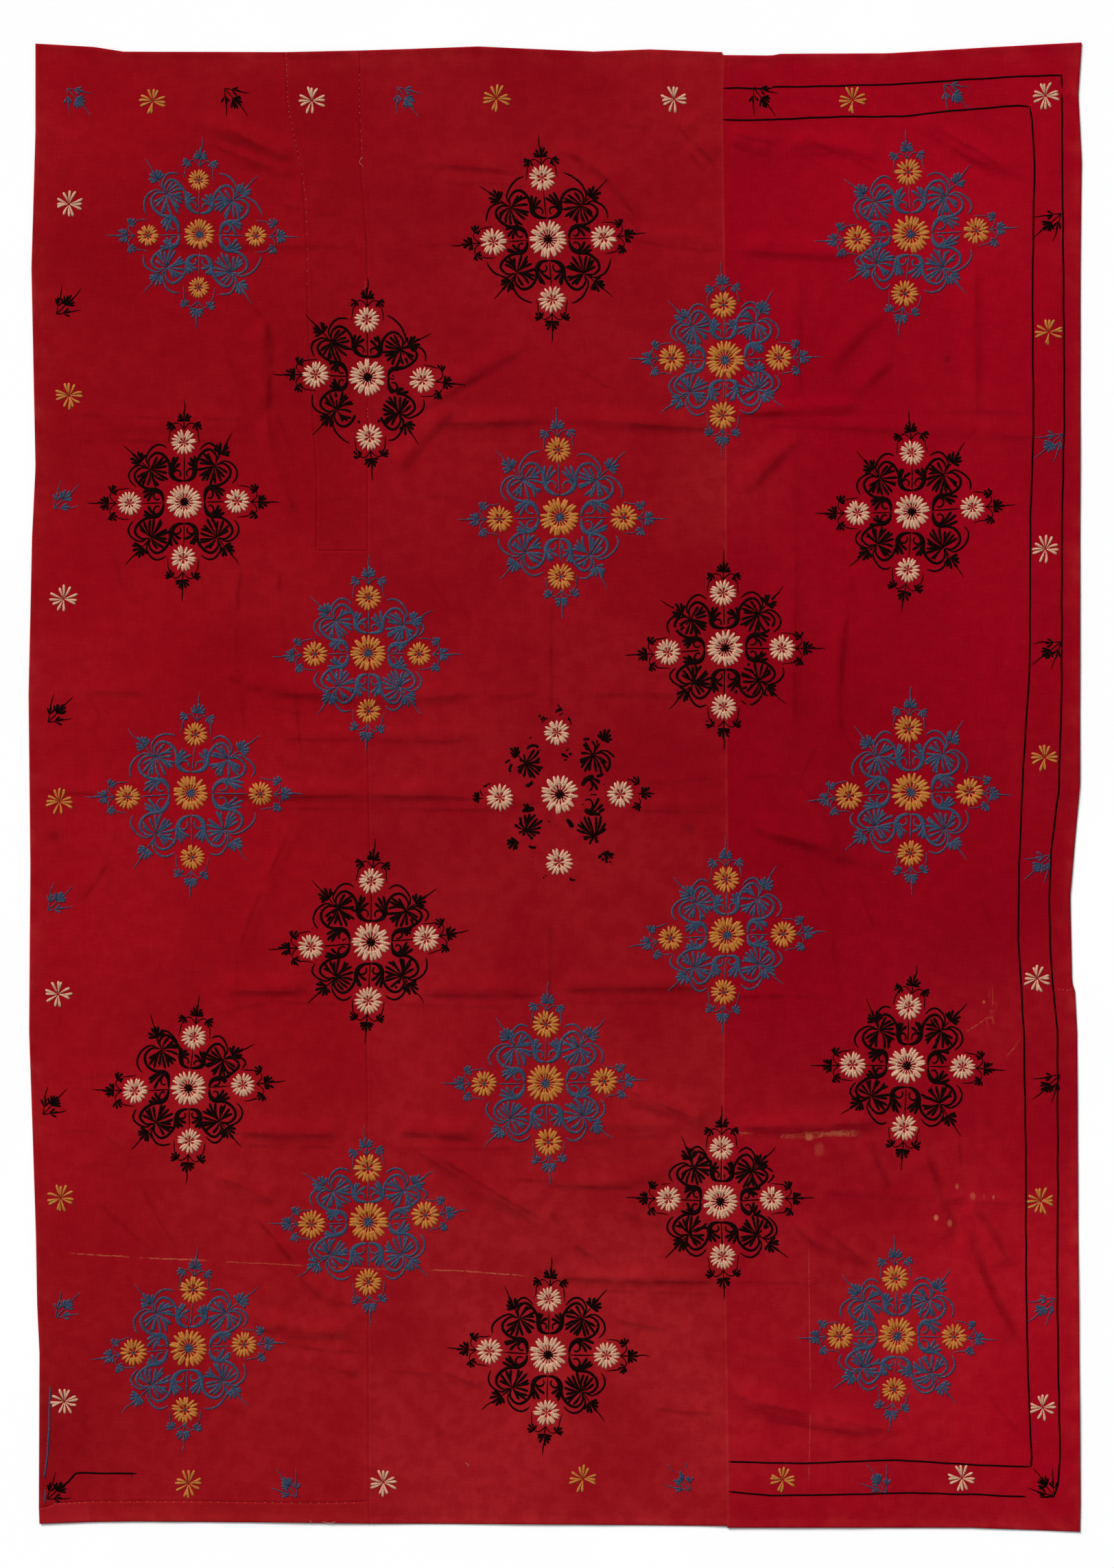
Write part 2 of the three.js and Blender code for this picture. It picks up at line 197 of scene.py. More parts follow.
# Fine creases in the photograph's pixels, each with bow and reach in millimetres and its depth. Each
# is the shaded side of a low fold, and a line of painted shade where the fold was pressed.
CREASES = [
    # the left panel, from its top
    (296, 168, 432, 236, 4, 13, 2.2), (300, 206, 430, 257, 3, 11, 1.4), (470, 255, 530, 290, 2, 11, 0.8),
    (450, 312, 500, 312, 0, 10, 0.8), (110, 357, 530, 359, 2, 9, 0.8), (408, 300, 442, 303, 0, 12, 1.0),
    (350, 430, 386, 465, -3, 11, 1.0), (386, 463, 394, 541, -3, 11, 2.0), (394, 541, 391, 602, 2, 11, 1.6),
    (391, 602, 397, 662, 2, 11, 1.5), (397, 662, 433, 752, 3, 11, 1.4), (325, 490, 360, 605, 2, 11, 0.9),
    (228, 455, 240, 525, 2, 12, 0.6), (400, 600, 430, 690, -3, 10, 0.9), (88, 603, 380, 612, 1, 9, 1.2),
    (90, 641, 390, 642, 1, 10, 1.3), (470, 725, 540, 727, 0, 9, 0.6), (160, 790, 186, 880, 2, 12, 0.7),
    (353, 822, 344, 900, 2, 10, 1.6), (344, 900, 350, 1000, 2, 10, 1.0), (350, 1000, 357, 1080, 0, 10, 0.9),
    (405, 825, 418, 960, 2, 10, 2.0), (426, 960, 442, 1128, 2, 9, 1.0), (118, 998, 152, 1052, 2, 10, 0.8),
    (330, 982, 386, 1008, 2, 13, 2.0), (384, 1010, 536, 1012, 3, 14, 2.3),
    (120, 1008, 242, 1010, 1, 13, 1.3), (390, 1031, 470, 1040, 2, 11, 0.8),
    (400, 1076, 545, 1078, 1, 9, 1.2), (378, 1056, 417, 1126, 1, 9, 1.0), (50, 1152, 192, 1158, 1, 9, 1.8),
    (288, 1160, 560, 1159, 1, 10, 2.4), (330, 1175, 545, 1178, 1, 9, 1.2),
    (172, 1195, 158, 1255, 0, 10, 1.0), (158, 1255, 118, 1312, -2, 10, 1.6),
    (430, 1190, 385, 1290, 0, 9, 1.4), (385, 1290, 346, 1390, 3, 9, 1.3), (346, 1390, 345, 1442, 0, 9, 0.8),
    (338, 1445, 472, 1446, 1, 11, 1.7), (308, 1478, 400, 1460, -2, 10, 1.2),
    (400, 1460, 505, 1462, 0, 9, 1.3), (118, 1572, 182, 1565, -3, 11, 1.0),
    (334, 1651, 508, 1654, 1, 10, 1.4), (334, 1667, 508, 1671, 1, 9, 1.2), (78, 1647, 150, 1648, 0, 9, 0.7),
    (150, 1650, 200, 1698, -2, 10, 1.0), (110, 1697, 200, 1697, 0, 9, 0.7),
    (315, 1714, 416, 1762, -4, 11, 1.5), (372, 1770, 435, 1846, 1, 11, 2.2),
    (420, 1840, 476, 1896, 3, 11, 1.8), (476, 1896, 522, 1905, 0, 10, 1.1),
    (200, 1718, 262, 1826, 3, 11, 1.1), (138, 1745, 232, 1830, 2, 12, 1.1),
    (368, 1924, 404, 1946, 2, 11, 1.6), (402, 1946, 524, 1951, 1, 11, 1.2),
    (398, 1956, 532, 1970, 3, 10, 1.3), (478, 1990, 528, 2004, 1, 10, 1.0),
    (290, 2040, 372, 2062, 1, 11, 0.8), (300, 2090, 342, 2101, 1, 11, 0.7),
    # the centre panel
    (606, 240, 778, 256, -3, 12, 1.7), (640, 265, 786, 270, 1, 11, 0.9), (812, 216, 932, 330, -20, 12, 1.9),
    (872, 284, 936, 338, -4, 11, 1.0), (880, 176, 956, 190, -1, 11, 0.9), (986, 180, 1046, 244, 0, 12, 1.7),
    (1000, 215, 1052, 272, 2, 11, 1.1), (605, 357, 702, 352, 1, 10, 0.8), (925, 350, 1050, 366, 2, 11, 1.6),
    (776, 503, 664, 572, 2, 12, 0.8), (702, 545, 608, 600, -2, 12, 0.8), (670, 590, 588, 690, 2, 13, 1.0),
    (828, 528, 910, 574, 2, 10, 0.9), (605, 617, 820, 613, 2, 10, 1.4), (815, 613, 925, 617, -1, 10, 1.1),
    (898, 616, 1050, 627, 2, 10, 2.2), (600, 725, 702, 723, 0, 9, 0.8), (614, 824, 666, 902, 2, 9, 0.9),
    (664, 866, 700, 932, 1, 9, 0.8), (803, 860, 804, 1110, 1, 9, 1.5), (803, 1110, 802, 1310, 1, 9, 0.8),
    (802, 1310, 803, 1560, 2, 9, 1.2), (608, 1018, 702, 1011, 2, 14, 1.7),
    (702, 1016, 792, 1010, 1, 11, 0.9), (850, 1011, 1000, 1014, 0, 12, 1.5),
    (545, 1079, 692, 1081, 0, 9, 1.5), (532, 1159, 702, 1164, 0, 11, 2.2),
    (560, 1178, 772, 1181, 0, 9, 1.6), (900, 1178, 1050, 1184, 1, 9, 1.4),
    (930, 1141, 1052, 1130, 2, 9, 1.0), (604, 1449, 802, 1449, 2, 12, 2.0),
    (802, 1443, 1044, 1440, -1, 12, 2.0), (560, 1463, 792, 1467, 1, 9, 0.9),
    (828, 1461, 1002, 1460, 0, 9, 1.0), (574, 1649, 702, 1661, 1, 12, 1.9),
    (700, 1656, 782, 1660, 0, 10, 1.0), (545, 1672, 782, 1673, 1, 9, 1.0),
    (634, 1680, 796, 1778, 4, 12, 2.2), (600, 1672, 700, 1734, 0, 10, 1.8),
    (700, 1734, 792, 1792, -2, 10, 1.5), (745, 1717, 822, 1722, 0, 9, 1.3),
    (788, 1726, 942, 1731, 1, 9, 2.4), (910, 1587, 1032, 1636, 1, 10, 1.8),
    (830, 1667, 902, 1658, 0, 10, 1.3), (900, 1658, 1044, 1649, 0, 10, 1.1),
    (906, 1764, 972, 1786, 3, 15, 2.8), (800, 1760, 832, 1812, 3, 14, 2.5),
    (832, 1812, 884, 1842, 0, 13, 2.0), (808, 1862, 902, 1866, 0, 10, 1.9),
    (900, 1866, 1052, 1868, 0, 10, 2.4), (860, 1880, 1048, 1885, 0, 9, 1.4),
    (894, 1922, 982, 1939, 2, 14, 2.0), (948, 2050, 1048, 2059, 3, 11, 1.6),
    (980, 2020, 1012, 2025, 3, 10, 1.0), (558, 1997, 640, 2002, 0, 10, 0.9),
    (640, 1997, 706, 2024, -1, 10, 1.4), (1000, 1974, 1040, 1976, 0, 10, 0.8),
    # the right panel
    (1060, 192, 1134, 210, 1, 11, 1.2), (1165, 200, 1284, 252, -3, 12, 1.4),
    (1062, 208, 1134, 231, 2, 13, 1.6), (1130, 231, 1236, 226, -4, 13, 0.9),
    (1336, 171, 1420, 222, -3, 12, 1.9), (1400, 205, 1498, 266, 0, 12, 1.7),
    (1384, 214, 1442, 247, 1, 10, 1.0), (1060, 366, 1228, 373, 2, 16, 1.1),
    (1100, 355, 1182, 358, 0, 10, 1.1), (1168, 400, 1168, 640, 2, 9, 0.8),
    (1280, 464, 1204, 560, 2, 18, 0.8), (1302, 530, 1240, 582, 2, 14, 0.7),
    (1058, 606, 1162, 600, 1, 10, 1.6), (1150, 597, 1262, 589, 2, 11, 1.0),
    (1100, 603, 1332, 601, 1, 9, 1.0), (1100, 618, 1332, 628, 1, 9, 0.9), (1430, 637, 1512, 638, 0, 9, 1.3),
    (1330, 600, 1502, 601, 0, 9, 0.7), (1166, 640, 1078, 732, 2, 14, 0.7),
    (1422, 362, 1425, 620, 1, 8, 0.9), (1425, 620, 1408, 642, 0, 9, 0.8),
    (1162, 788, 1158, 1092, 3, 9, 1.0), (1225, 788, 1246, 872, 1, 9, 1.2),
    (1237, 872, 1222, 1040, 2, 11, 1.4), (1220, 1040, 1246, 1102, 1, 9, 0.9),
    (1216, 1038, 1160, 1150, 2, 9, 1.1), (1155, 1130, 1217, 1196, 1, 9, 1.0),
    (1080, 1131, 1160, 1130, 0, 9, 0.8), (1090, 1204, 1232, 1240, 4, 15, 2.1),
    (1180, 1246, 1302, 1263, 1, 12, 1.2), (1186, 1170, 1240, 1265, 0, 9, 1.1),
    (1240, 1265, 1278, 1362, 1, 9, 1.1), (1166, 1220, 1208, 1320, 2, 10, 0.8),
    (1208, 1320, 1232, 1500, 3, 10, 0.8), (1060, 1452, 1152, 1450, 0, 11, 1.7),
    (1150, 1450, 1212, 1452, 0, 10, 0.8), (1058, 1644, 1304, 1635, 2, 9, 1.9),
    (1264, 1655, 1300, 1740, 2, 16, 1.3), (1346, 1672, 1402, 1812, 2, 17, 1.8),
    (1426, 1672, 1456, 1722, 1, 16, 0.9), (1414, 1748, 1484, 1852, 2, 20, 1.9),
    (1408, 1768, 1496, 1966, 16, 20, 2.1), (1180, 1772, 1270, 1845, 3, 18, 1.3),
    (1152, 1778, 1206, 1830, 1, 12, 1.3), (1110, 1731, 1200, 1726, 2, 11, 0.9),
    (1180, 1738, 1372, 1748, 0, 7, 0.7), (1372, 1748, 1502, 1754, 0, 7, 0.9),
    (1054, 2027, 1190, 2062, 4, 14, 1.9), (1190, 2062, 1312, 2089, 1, 13, 1.6),
    (1085, 2062, 1302, 2093, 3, 9, 1.2), (1262, 2110, 1312, 2086, 0, 9, 0.8),
    (1381, 2008, 1380, 2102, 0, 9, 0.9), (1440, 2030, 1492, 2092, 2, 12, 1.1),
    (1052, 1867, 1212, 1868, 1, 9, 1.2), (1060, 1969, 1182, 1986, 2, 11, 0.9),
    (1397, 1652, 1406, 1744, 1, 9, 1.3), (1428, 1612, 1492, 1700, 2, 17, 1.5),
    (1428, 1410, 1446, 1480, 2, 12, 1.2), (1426, 1306, 1446, 1350, 2, 14, 1.2),
]
# Lines where the dye has worn off, given in the same way
WORN_LINES = [
    (96, 1826, 200, 1832, 0, 8, 0.45), (198, 1832, 306, 1837, 0, 10, 0.5), (304, 1837, 462, 1845, 0, 8, 0.28),
    (460, 1846, 612, 1851, 0, 8, 0.22), (613, 1850, 773, 1860, -2, 9, 0.5),
    (1179, 1800, 1181, 2045, 0, 7, 0.2), (1181, 2045, 1179, 2168, 0, 7, 0.18),
    (1056, 1648, 1172, 1655, 2, 9, 0.35),
    (1150, 1656, 1256, 1651, -1, 30, 0.42), (1226, 1651, 1318, 1654, -2, 20, 0.28),
    (1407, 1504, 1443, 1480, 1, 10, 0.28), (1467, 1540, 1486, 1516, 0, 10, 0.25),
    (1443, 1470, 1449, 1494, 0, 12, 0.2), (1446, 1434, 1448, 1472, 0, 8, 0.18),
]
# Small worn spots, in layers in which none is near another: the photograph's pixel, half width and
# half height in millimetres, and how worn
WORN_SPOTS = [
    [(1180, 1656, 8, 7, 0.5), (1364, 1774, 4, 5, 0.7), (1418, 1743, 5, 7, 0.25), (1448, 1744, 2.5, 4, 0.5),
     (1434, 1460, 3, 3, 0.35)],
    [(1194, 1675, 9, 13, 0.11), (1384, 1782, 4.5, 6.5, 0.4), (1395, 1729, 3, 5, 0.4)],
]
CREST_SHIFT = 0.45  # how far towards the lamp the crest lies, as a share of the crease's reach
CREST_REACH = 1.9  # the low fold's reach, as a share of the crease's
CREST_RISE = 0.36  # millimetres for each unit of depth
CREASE_LAYERS = 3
CREASE_SAMPLES = 6  # places at which a crease's distance to others is taken
# A crease's dark line is painted shade; a worn line is paler, worn dye.
MARK_REACH = 11  # the reach at which a crease's dark line has its usual width
MARK_FULL, MARK_END = 8, 15  # where that line begins to give way, and where it ends
SPOT_REACH = 16.0  # more than any worn spot's half size
NO_SPOT = 9.0  # half sizes away from a spot, where none is near
SPOT_ATTRIBUTES = ["spot_over", "spot_up", "spot_depth"]

# The cloth
CLOTH_THICKNESS = 1.1
CELL = 6.0  # of the grid that a piece is made of
GRID_SAMPLES = 9  # places along a rail or a level at which its mean is taken
GRID_ROUNDS = 6  # of moving the grid's points until they lie on both rails and levels
EDGE_MARKS = [0, 0.7, 1.9, 4.2, 7.6, 10.4]  # grid lines near an edge or a seam
RIM = 1.8  # width over which the cloth's edge is rounded
RIM_FALL = 0.97  # how much of the squared thickness is gone at the very edge
HEM_WIDTH = 9.0
HEM_RISE = 0.5
TURNED_EDGE = 7.0  # width of the seam allowance that lies under a seam
TURNED_RISE = 0.35
FALL_BEFORE, FALL_AFTER = 2, 1  # how far before and after its width a turned edge's step lies
SEAM_DIP = 0.55
SEAM_DIP_WIDTH = 1.7
HANGING_SLACK = 1.3  # mean height of the soft unevenness of cloth laid by hand
SLACK_WAVES = [(420, 0.55, 1), (190, 0.4, 2), (80, 0.16, 3)]  # wave length, height and seed
WAVE_COUNT = 8  # plane waves in a noise
WAVE_LENGTHS = (0.7, 1.4)  # the shortest and longest waves of a noise, as shares of its wave length

# Seeds of the noise that is the same for the whole cloth
PANEL_SEED, EDGE_SEED, WEAR_SEED, SURVIVING_SEED, LINE_SEEDS = 11, 12, 21, 22, (31, 32)

# The threads
THREAD_RISE = 0.75
FLOWER_RISE = 0.62
FLOWER_SHOULDER = 0.82
THREAD_SINK = 0.3
FULL_HALF_WIDTH = 1  # a stroke whose half width is less is lower too
FULLNESS = 1.1  # makes up for what a stroke's feet hide in the cloth
SHOULDER = 0.6  # where a thread's rounded section has its shoulders, as a share of its half width
END_WIDTH = 0.35  # a stroke's ends are this share of its width
END_RISE = 0.6  # and this share of its height
UNEVENNESS = 0.15  # share of its height that a stroke may gain or lose
FLOWER_UNEVENNESS = 0.06
STEP = 4.0  # length of a stroke's straight parts
FINE_STEP = 2.0  # where thread is worn away
LEAST_STEP = 0.25  # share of a step below which two places on a line are taken as one


def way_at(degrees):
    """The way, of length 1, at an angle from the cloth's x axis."""
    return np.exp(1j * math.radians(degrees))


def length_along(path):
    """How far along a path each of its places lies."""
    return np.concatenate([[0], np.cumsum(np.abs(np.diff(path)))])


def waves(x, y, length, seed):
    """Smooth noise, mostly from -1 to 1, made of plane waves of about that length."""
    rng = np.random.default_rng(seed)
    total = np.zeros(np.shape(x))
    for _ in range(WAVE_COUNT):
        angle, phase = rng.uniform(0, 2 * math.pi, 2)
        turns = 2 * math.pi / (length * rng.uniform(*WAVE_LENGTHS))
        total += np.sin(turns * (x * math.cos(angle) + y * math.sin(angle)) + phase)
    return total / math.sqrt(2 * WAVE_COUNT)


def smoothstep(value, low, high):
    """0 below low, 1 above high, and a smooth rise between them."""
    t = np.clip((value - low) / (high - low), 0, 1)
    return t * t * (3 - 2 * t)


def arched(share):
    """A bow's height at a share of its length: nothing at both ends and 1 in the middle."""
    return 4 * share * (1 - share)


def beside(fold, x, y, margin):
    """Which points a fold may reach, their share of its length, and how far on its lamp side they lie."""
    x0, y0, x1, y1, bow = fold[:5]
    start, along = complex(x0, y0), complex(x1 - x0, y1 - y0)
    margin = margin + abs(bow)
    near = (
        (x > min(x0, x1) - margin) & (x < max(x0, x1) + margin)
        & (y > min(y0, y1) - margin) & (y < max(y0, y1) + margin)
    )
    place = (x[near] + 1j * y[near] - start) / along
    share = place.real
    leftward = place.imag * abs(along) + bow * arched(share)
    left_is_lit = (1j * along * LAMP_WAY.conjugate()).real > 0
    return near, share, leftward if left_is_lit else -leftward


def fold_lift(fold, x, y, sharpness=1.0):
    """Which points a fold reaches, and how far it lifts each of them."""
    reach, rise = fold[5:]
    near, share, lampward = beside(fold, x, y, reach * (1 + FOLD_LEAN))
    across = np.clip(lampward / reach / np.where(lampward > 0, 1 + FOLD_LEAN, 1 - FOLD_LEAN), -1, 1)
    taper = smoothstep(np.minimum(share, 1 - share), 0, FOLD_TAPER)
    uneven = 1 + FOLD_UNEVENNESS * np.sin(SWELLS_PER_FOLD * 2 * math.pi * share + fold[0])
    return near, rise * taper * uneven * ((1 + np.cos(math.pi * across)) / 2) ** sharpness


def crease_on_cloth(row):
    """A crease of the table, with its ends as places on the cloth."""
    start, end = from_photo(*row[0:2]), from_photo(*row[2:4])
    return (start.real, start.imag, end.real, end.imag, *row[4:])


def crest_of(crease):
    """The low fold whose shaded side a crease is."""
    x0, y0, x1, y1, bow, reach, depth = crease
    shift = LAMP_WAY * reach * CREST_SHIFT
    return (
        x0 + shift.real, y0 + shift.imag, x1 + shift.real, y1 + shift.imag,
        bow, reach * CREST_REACH, depth * CREST_RISE,
    )


def in_layers(creases):
    """The creases shared out between layers, so that neighbours lie in different ones."""
    layers = [[] for _ in range(CREASE_LAYERS)]
    places = [[] for _ in layers]
    for crease in creases:
        own = np.linspace(complex(*crease[0:2]), complex(*crease[2:4]), CREASE_SAMPLES)
        room = [np.min(np.abs(np.subtract.outer(own, others))) if others else np.inf for others in places]
        chosen = int(np.argmax(room))
        layers[chosen].append(crease)
        places[chosen] += list(own)
    return layers


FINE_CREASES = [crease_on_cloth(row) for row in CREASES]
FINE_FOLDS = [crest_of(crease) for crease in FINE_CREASES]
SHADED_CREASES = in_layers(FINE_CREASES)
WORN_CREASES = [crease_on_cloth(row) for row in WORN_LINES]


def creasing(layer, x, y):
    """Where each point lies across the nearest crease of a layer, and how deep the crease is there."""
    nearest, depth = np.full(x.shape, 2 * MARK_END), np.zeros(x.shape)
    for crease in layer:
        widened = crease[5] / MARK_REACH
        near, share, lampward = beside(crease, x, y, 2 * MARK_END * widened)
        lampward = lampward / widened
        closer = np.abs(lampward) < np.abs(nearest[near])
        taper = smoothstep(np.minimum(share, 1 - share), 0, FOLD_TAPER)
        own = crease[6] * taper * (1 - smoothstep(np.abs(lampward), MARK_FULL, MARK_END))
        nearest[near] = np.where(closer, lampward, nearest[near])
        depth[near] = np.where(closer, own, depth[near])
    return nearest, depth


def lift(x, y):
    """How far the cloth's underside lies above the surface, never less than nothing."""
    folded = np.zeros(x.shape)
    for fold in FOLDS:
        near, height = fold_lift(fold, x, y, FOLD_SHARPNESS)
        folded[near] = np.maximum(folded[near], height)
    uneven = np.full(x.shape, HANGING_SLACK)
    for length, height, seed in SLACK_WAVES:
        uneven += height * waves(x, y, length, seed)
    for fold in FINE_FOLDS:
        near, height = fold_lift(fold, x, y)
        uneven[near] += height
    return np.maximum(folded + uneven, 0)


def distance_to(lines, x, y):
    """Distance from each point to the nearest of the lines."""
    place = x + 1j * y
    nearest = np.full(x.shape, np.inf)
    for line in lines:
        for (x0, y0), (x1, y1) in zip(line, line[1:]):
            along = complex(x1 - x0, y1 - y0)
            if along == 0:
                continue
            place_on = (place - complex(x0, y0)) / along
            off = place_on - np.clip(place_on.real, 0, 1)
            nearest = np.minimum(nearest, np.abs(off) * abs(along))
    return nearest


def turned_edge(distance, width, rise):
    """How far a turned edge lifts the cloth, at a distance from its hem or seam."""
    return rise * (1 - smoothstep(distance, width - FALL_BEFORE, width + FALL_AFTER))


def top_of_cloth(x, y):
    """Height of the cloth's face, with its hems and seams."""
    to_hem, to_seam = distance_to(HEMS, x, y), distance_to(SEAMS, x, y)
    hem = turned_edge(to_hem, HEM_WIDTH, HEM_RISE)
    turned = turned_edge(to_seam, TURNED_EDGE, TURNED_RISE)
    dip = SEAM_DIP * np.exp(-((to_seam / SEAM_DIP_WIDTH) ** 2))
    inside = 1 - np.clip(to_hem / RIM, 0, 1)
    rounded = (CLOTH_THICKNESS + hem) * np.sqrt(1 - RIM_FALL * inside**2)
    return lift(x, y) + rounded + turned - dip


def marks_along(length):
    """Grid lines along a length, closer near its two ends. Their number is odd."""
    edge = np.array(EDGE_MARKS)
    if length < 3 * edge[-1]:
        return np.linspace(0, length, 2 * max(2, round(length / CELL)) + 1)
    cells = 2 * round((length - 2 * edge[-1]) / CELL / 2)
    middle = np.linspace(edge[-1], length - edge[-1], cells + 1)
    return np.concatenate([edge[:-1], middle, (length - edge[:-1])[::-1]])


def rail_at(rail, y):
    """x of a rail, which runs down the cloth, at y."""
    points = sorted(rail, key=lambda point: point[1])
    return np.interp(y, [point[1] for point in points], [point[0] for point in points])


def level_at(level, x):
    """y of a level, which runs across the cloth, at x."""
    return np.interp(x, [point[0] for point in level], [point[1] for point in level])


def shares_between(lines, at, crossing):
    """Grid lines across the blocks between neighbouring lines: the block of each and its share of it."""
    blocks, shares = [], []
    middles = [float(np.mean(at(line, crossing))) for line in lines]
    for block, (low, high) in enumerate(zip(middles, middles[1:])):
        marks = marks_along(high - low) / (high - low)
        marks = marks if block == 0 else marks[1:]
        blocks += [block] * len(marks)
        shares += list(marks)
    return np.array(blocks), np.array(shares)


def mixed(lines, at, blocks, shares, crossing):
    """Places between neighbouring lines, at each one's share of its block."""
    values = np.array([at(line, crossing) for line in lines])
    low = np.take_along_axis(values, np.broadcast_to(blocks, (1, *crossing.shape)), 0)[0]
    high = np.take_along_axis(values, np.broadcast_to(blocks + 1, (1, *crossing.shape)), 0)[0]
    return low * (1 - shares) + high * shares


def piece_grid(piece):
    """x and y of a piece's grid points, and which of its cells are cloth."""
    rails, levels = piece["rails"], piece["levels"]
    ys = [point[1] for level in levels for point in level]
    xs = [point[0] for rail in rails for point in rail]
    column_block, column_share = shares_between(rails, rail_at, np.linspace(min(ys), max(ys), GRID_SAMPLES))
    row_block, row_share = shares_between(levels, level_at, np.linspace(min(xs), max(xs), GRID_SAMPLES))
    column_block, column_share = column_block[None, :], column_share[None, :]
    row_block, row_share = row_block[:, None], row_share[:, None]
    y = np.linspace(min(ys), max(ys), len(row_share))[:, None] + 0 * column_share
    for _ in range(GRID_ROUNDS):
        x = mixed(rails, rail_at, column_block, column_share, y)
        y = mixed(levels, level_at, row_block, row_share, x)
    cloth = np.ones((x.shape[0] - 1, x.shape[1] - 1), bool)
    if piece.get("corner_missing"):
        cloth = ~((row_block[1:] == 1) & (column_block[:, 1:] == 1))
    return x, y, cloth


def lowest_around(z):
    """Each second point's lowest neighbour, so that the coarser underside stays under the face."""
    padded = np.pad(z, 1, mode="edge")
    rows, columns = z.shape
    around = [padded[i:i + rows, j:j + columns] for i in range(3) for j in range(3)]
    return np.min(around, axis=0)[::2, ::2]


def wall_faces(cloth, face, under):
    """The rim that closes a sheet: a face of five corners for each outer side of a coarse cell."""
    rows, columns = cloth.shape
    padded = np.pad(cloth, 1)
    faces = []
    for i in range(rows):
        for j in range(columns):
            if not cloth[i, j]:
                continue
            a, b, top, left = 2 * i, 2 * j, 2 * i + 2, 2 * j + 2
            sides = [
                (padded[i, j + 1], [(a, b), (a, b + 1), (a, left)], (i, j), (i, j + 1)),
                (padded[i + 1, j + 2], [(a, left), (a + 1, left), (top, left)], (i, j + 1), (i + 1, j + 1)),
                (padded[i + 2, j + 1], [(top, left), (top, b + 1), (top, b)], (i + 1, j + 1), (i + 1, j)),
                (padded[i + 1, j], [(top, b), (a + 1, b), (a, b)], (i + 1, j), (i, j)),
            ]
            for neighbour, above, first, second in sides:
                if not neighbour:
                    upper = [int(face[corner]) for corner in above]
                    faces.append([int(under[first]), int(under[second]), *reversed(upper)])
    return faces


def cell_faces(cloth, index, upwards):
    """A face for each cell that is cloth."""
    corners = [index[:-1, :-1], index[:-1, 1:], index[1:, 1:], index[1:, :-1]]
    faces = np.stack([corner[cloth] for corner in corners], axis=1)
    return (faces if upwards else faces[:, ::-1]).tolist()


def new_object(name, places, faces, material):
    """A smooth mesh object from places in millimetres, with unused places left out."""
    used = np.unique([corner for face in faces for corner in face])
    renumbered = np.zeros(len(places), int)
    renumbered[used] = np.arange(len(used))
    mesh = bpy.data.meshes.new(name)
    mesh.from_pydata(places[used] * MM, [], [renumbered[face].tolist() for face in faces])
    mesh.polygons.foreach_set("use_smooth", [True] * len(mesh.polygons))
    mesh.materials.append(material)
    mesh.update()
    made = bpy.data.objects.new(name, mesh)
    bpy.context.scene.collection.objects.link(made)
    return made, used


def paint(made, attribute, values):
    """Stores a value for each point of a mesh, for its material to read."""
    layer = made.data.attributes.new(attribute, "FLOAT", "POINT")
    layer.data.foreach_set("value", np.asarray(values, np.float32))


# Fading: places in the photograph's pixels, the spread in millimetres and how faded the red is there
FADED_PLACES = [
    (300, 2000, 420, 0.16), (900, 1900, 420, 0.26), (1300, 1900, 360, 0.22), (1450, 1500, 150, 0.12),
    (700, 1300, 260, 0.1), (1080, 700, 120, 0.18), (330, 1700, 250, 0.1), (640, 2150, 300, 0.12),
]
FADED_EDGE = 0.5
FADED_EDGE_WIDTH = 16
FADED_SEAM = 0.55
FADED_SEAM_WIDTH = 2.2
EDGE_WEAR = (60, 0.6, 0.5)  # of the faded edge: its wave length, its mean, and how far it swings
PANEL_WEAR = (300, 0.05)  # of a whole panel: the wave length and how far it swings
BASE_FADE = {"cloth_left": 0.05, "cloth_centre": 0.12, "cloth_insert": 0.06}

# Painted light and shade: places in the photograph's pixels, the spread in millimetres and how much brighter
# the red is there
PAINTED_LIGHT_AND_SHADE = [
    (1380, 250, 360, 0.25), (1450, 1950, 300, 0.32), (1060, 2090, 240, 0.09), (700, 2130, 240, 0.09),
    (1440, 850, 280, 0.11), (1250, 1870, 120, -0.16), (1270, 1640, 150, -0.12),
    (110, 1250, 360, 0.14), (60, 1690, 190, 0.10), (80, 860, 170, 0.10), (60, 130, 170, 0.16),
    (480, 540, 110, -0.16), (1170, 1150, 400, -0.12), (60, 2080, 140, -0.14), (640, 1560, 170, 0.08),
]
BRIGHTNESS_EVERYWHERE = 1.03

# Stains: place in the photograph's pixels, radius in millimetres and depth
STAINS = [
    (1381, 523, 7, 0.5), (1006, 1208, 8, 0.45), (80, 1219, 10, 0.4), (640, 2090, 6, 0.3),
]


def patched(values, patches, x, y):
    """The values with soft round patches added to them."""
    for px, py, spread, amount in patches:
        middle = from_photo(px, py)
        values = values + amount * np.exp(-((x - middle.real) ** 2 + (y - middle.imag) ** 2) / spread**2)
    return values


def fading(name, x, y):
    """How far the red has faded, from 0 to 1."""
    length, swing = PANEL_WEAR
    faded = patched(BASE_FADE.get(name, 0) + swing * waves(x, y, length, PANEL_SEED), FADED_PLACES, x, y)
    length, mean, swing = EDGE_WEAR
    edge = np.exp(-distance_to(HEMS, x, y) / FADED_EDGE_WIDTH)
    faded += FADED_EDGE * edge * (mean + swing * waves(x, y, length, EDGE_SEED))
    faded += FADED_SEAM * np.exp(-((distance_to([RIGHT_SEAM], x, y) / FADED_SEAM_WIDTH) ** 2))
    return np.clip(faded, 0, 1)


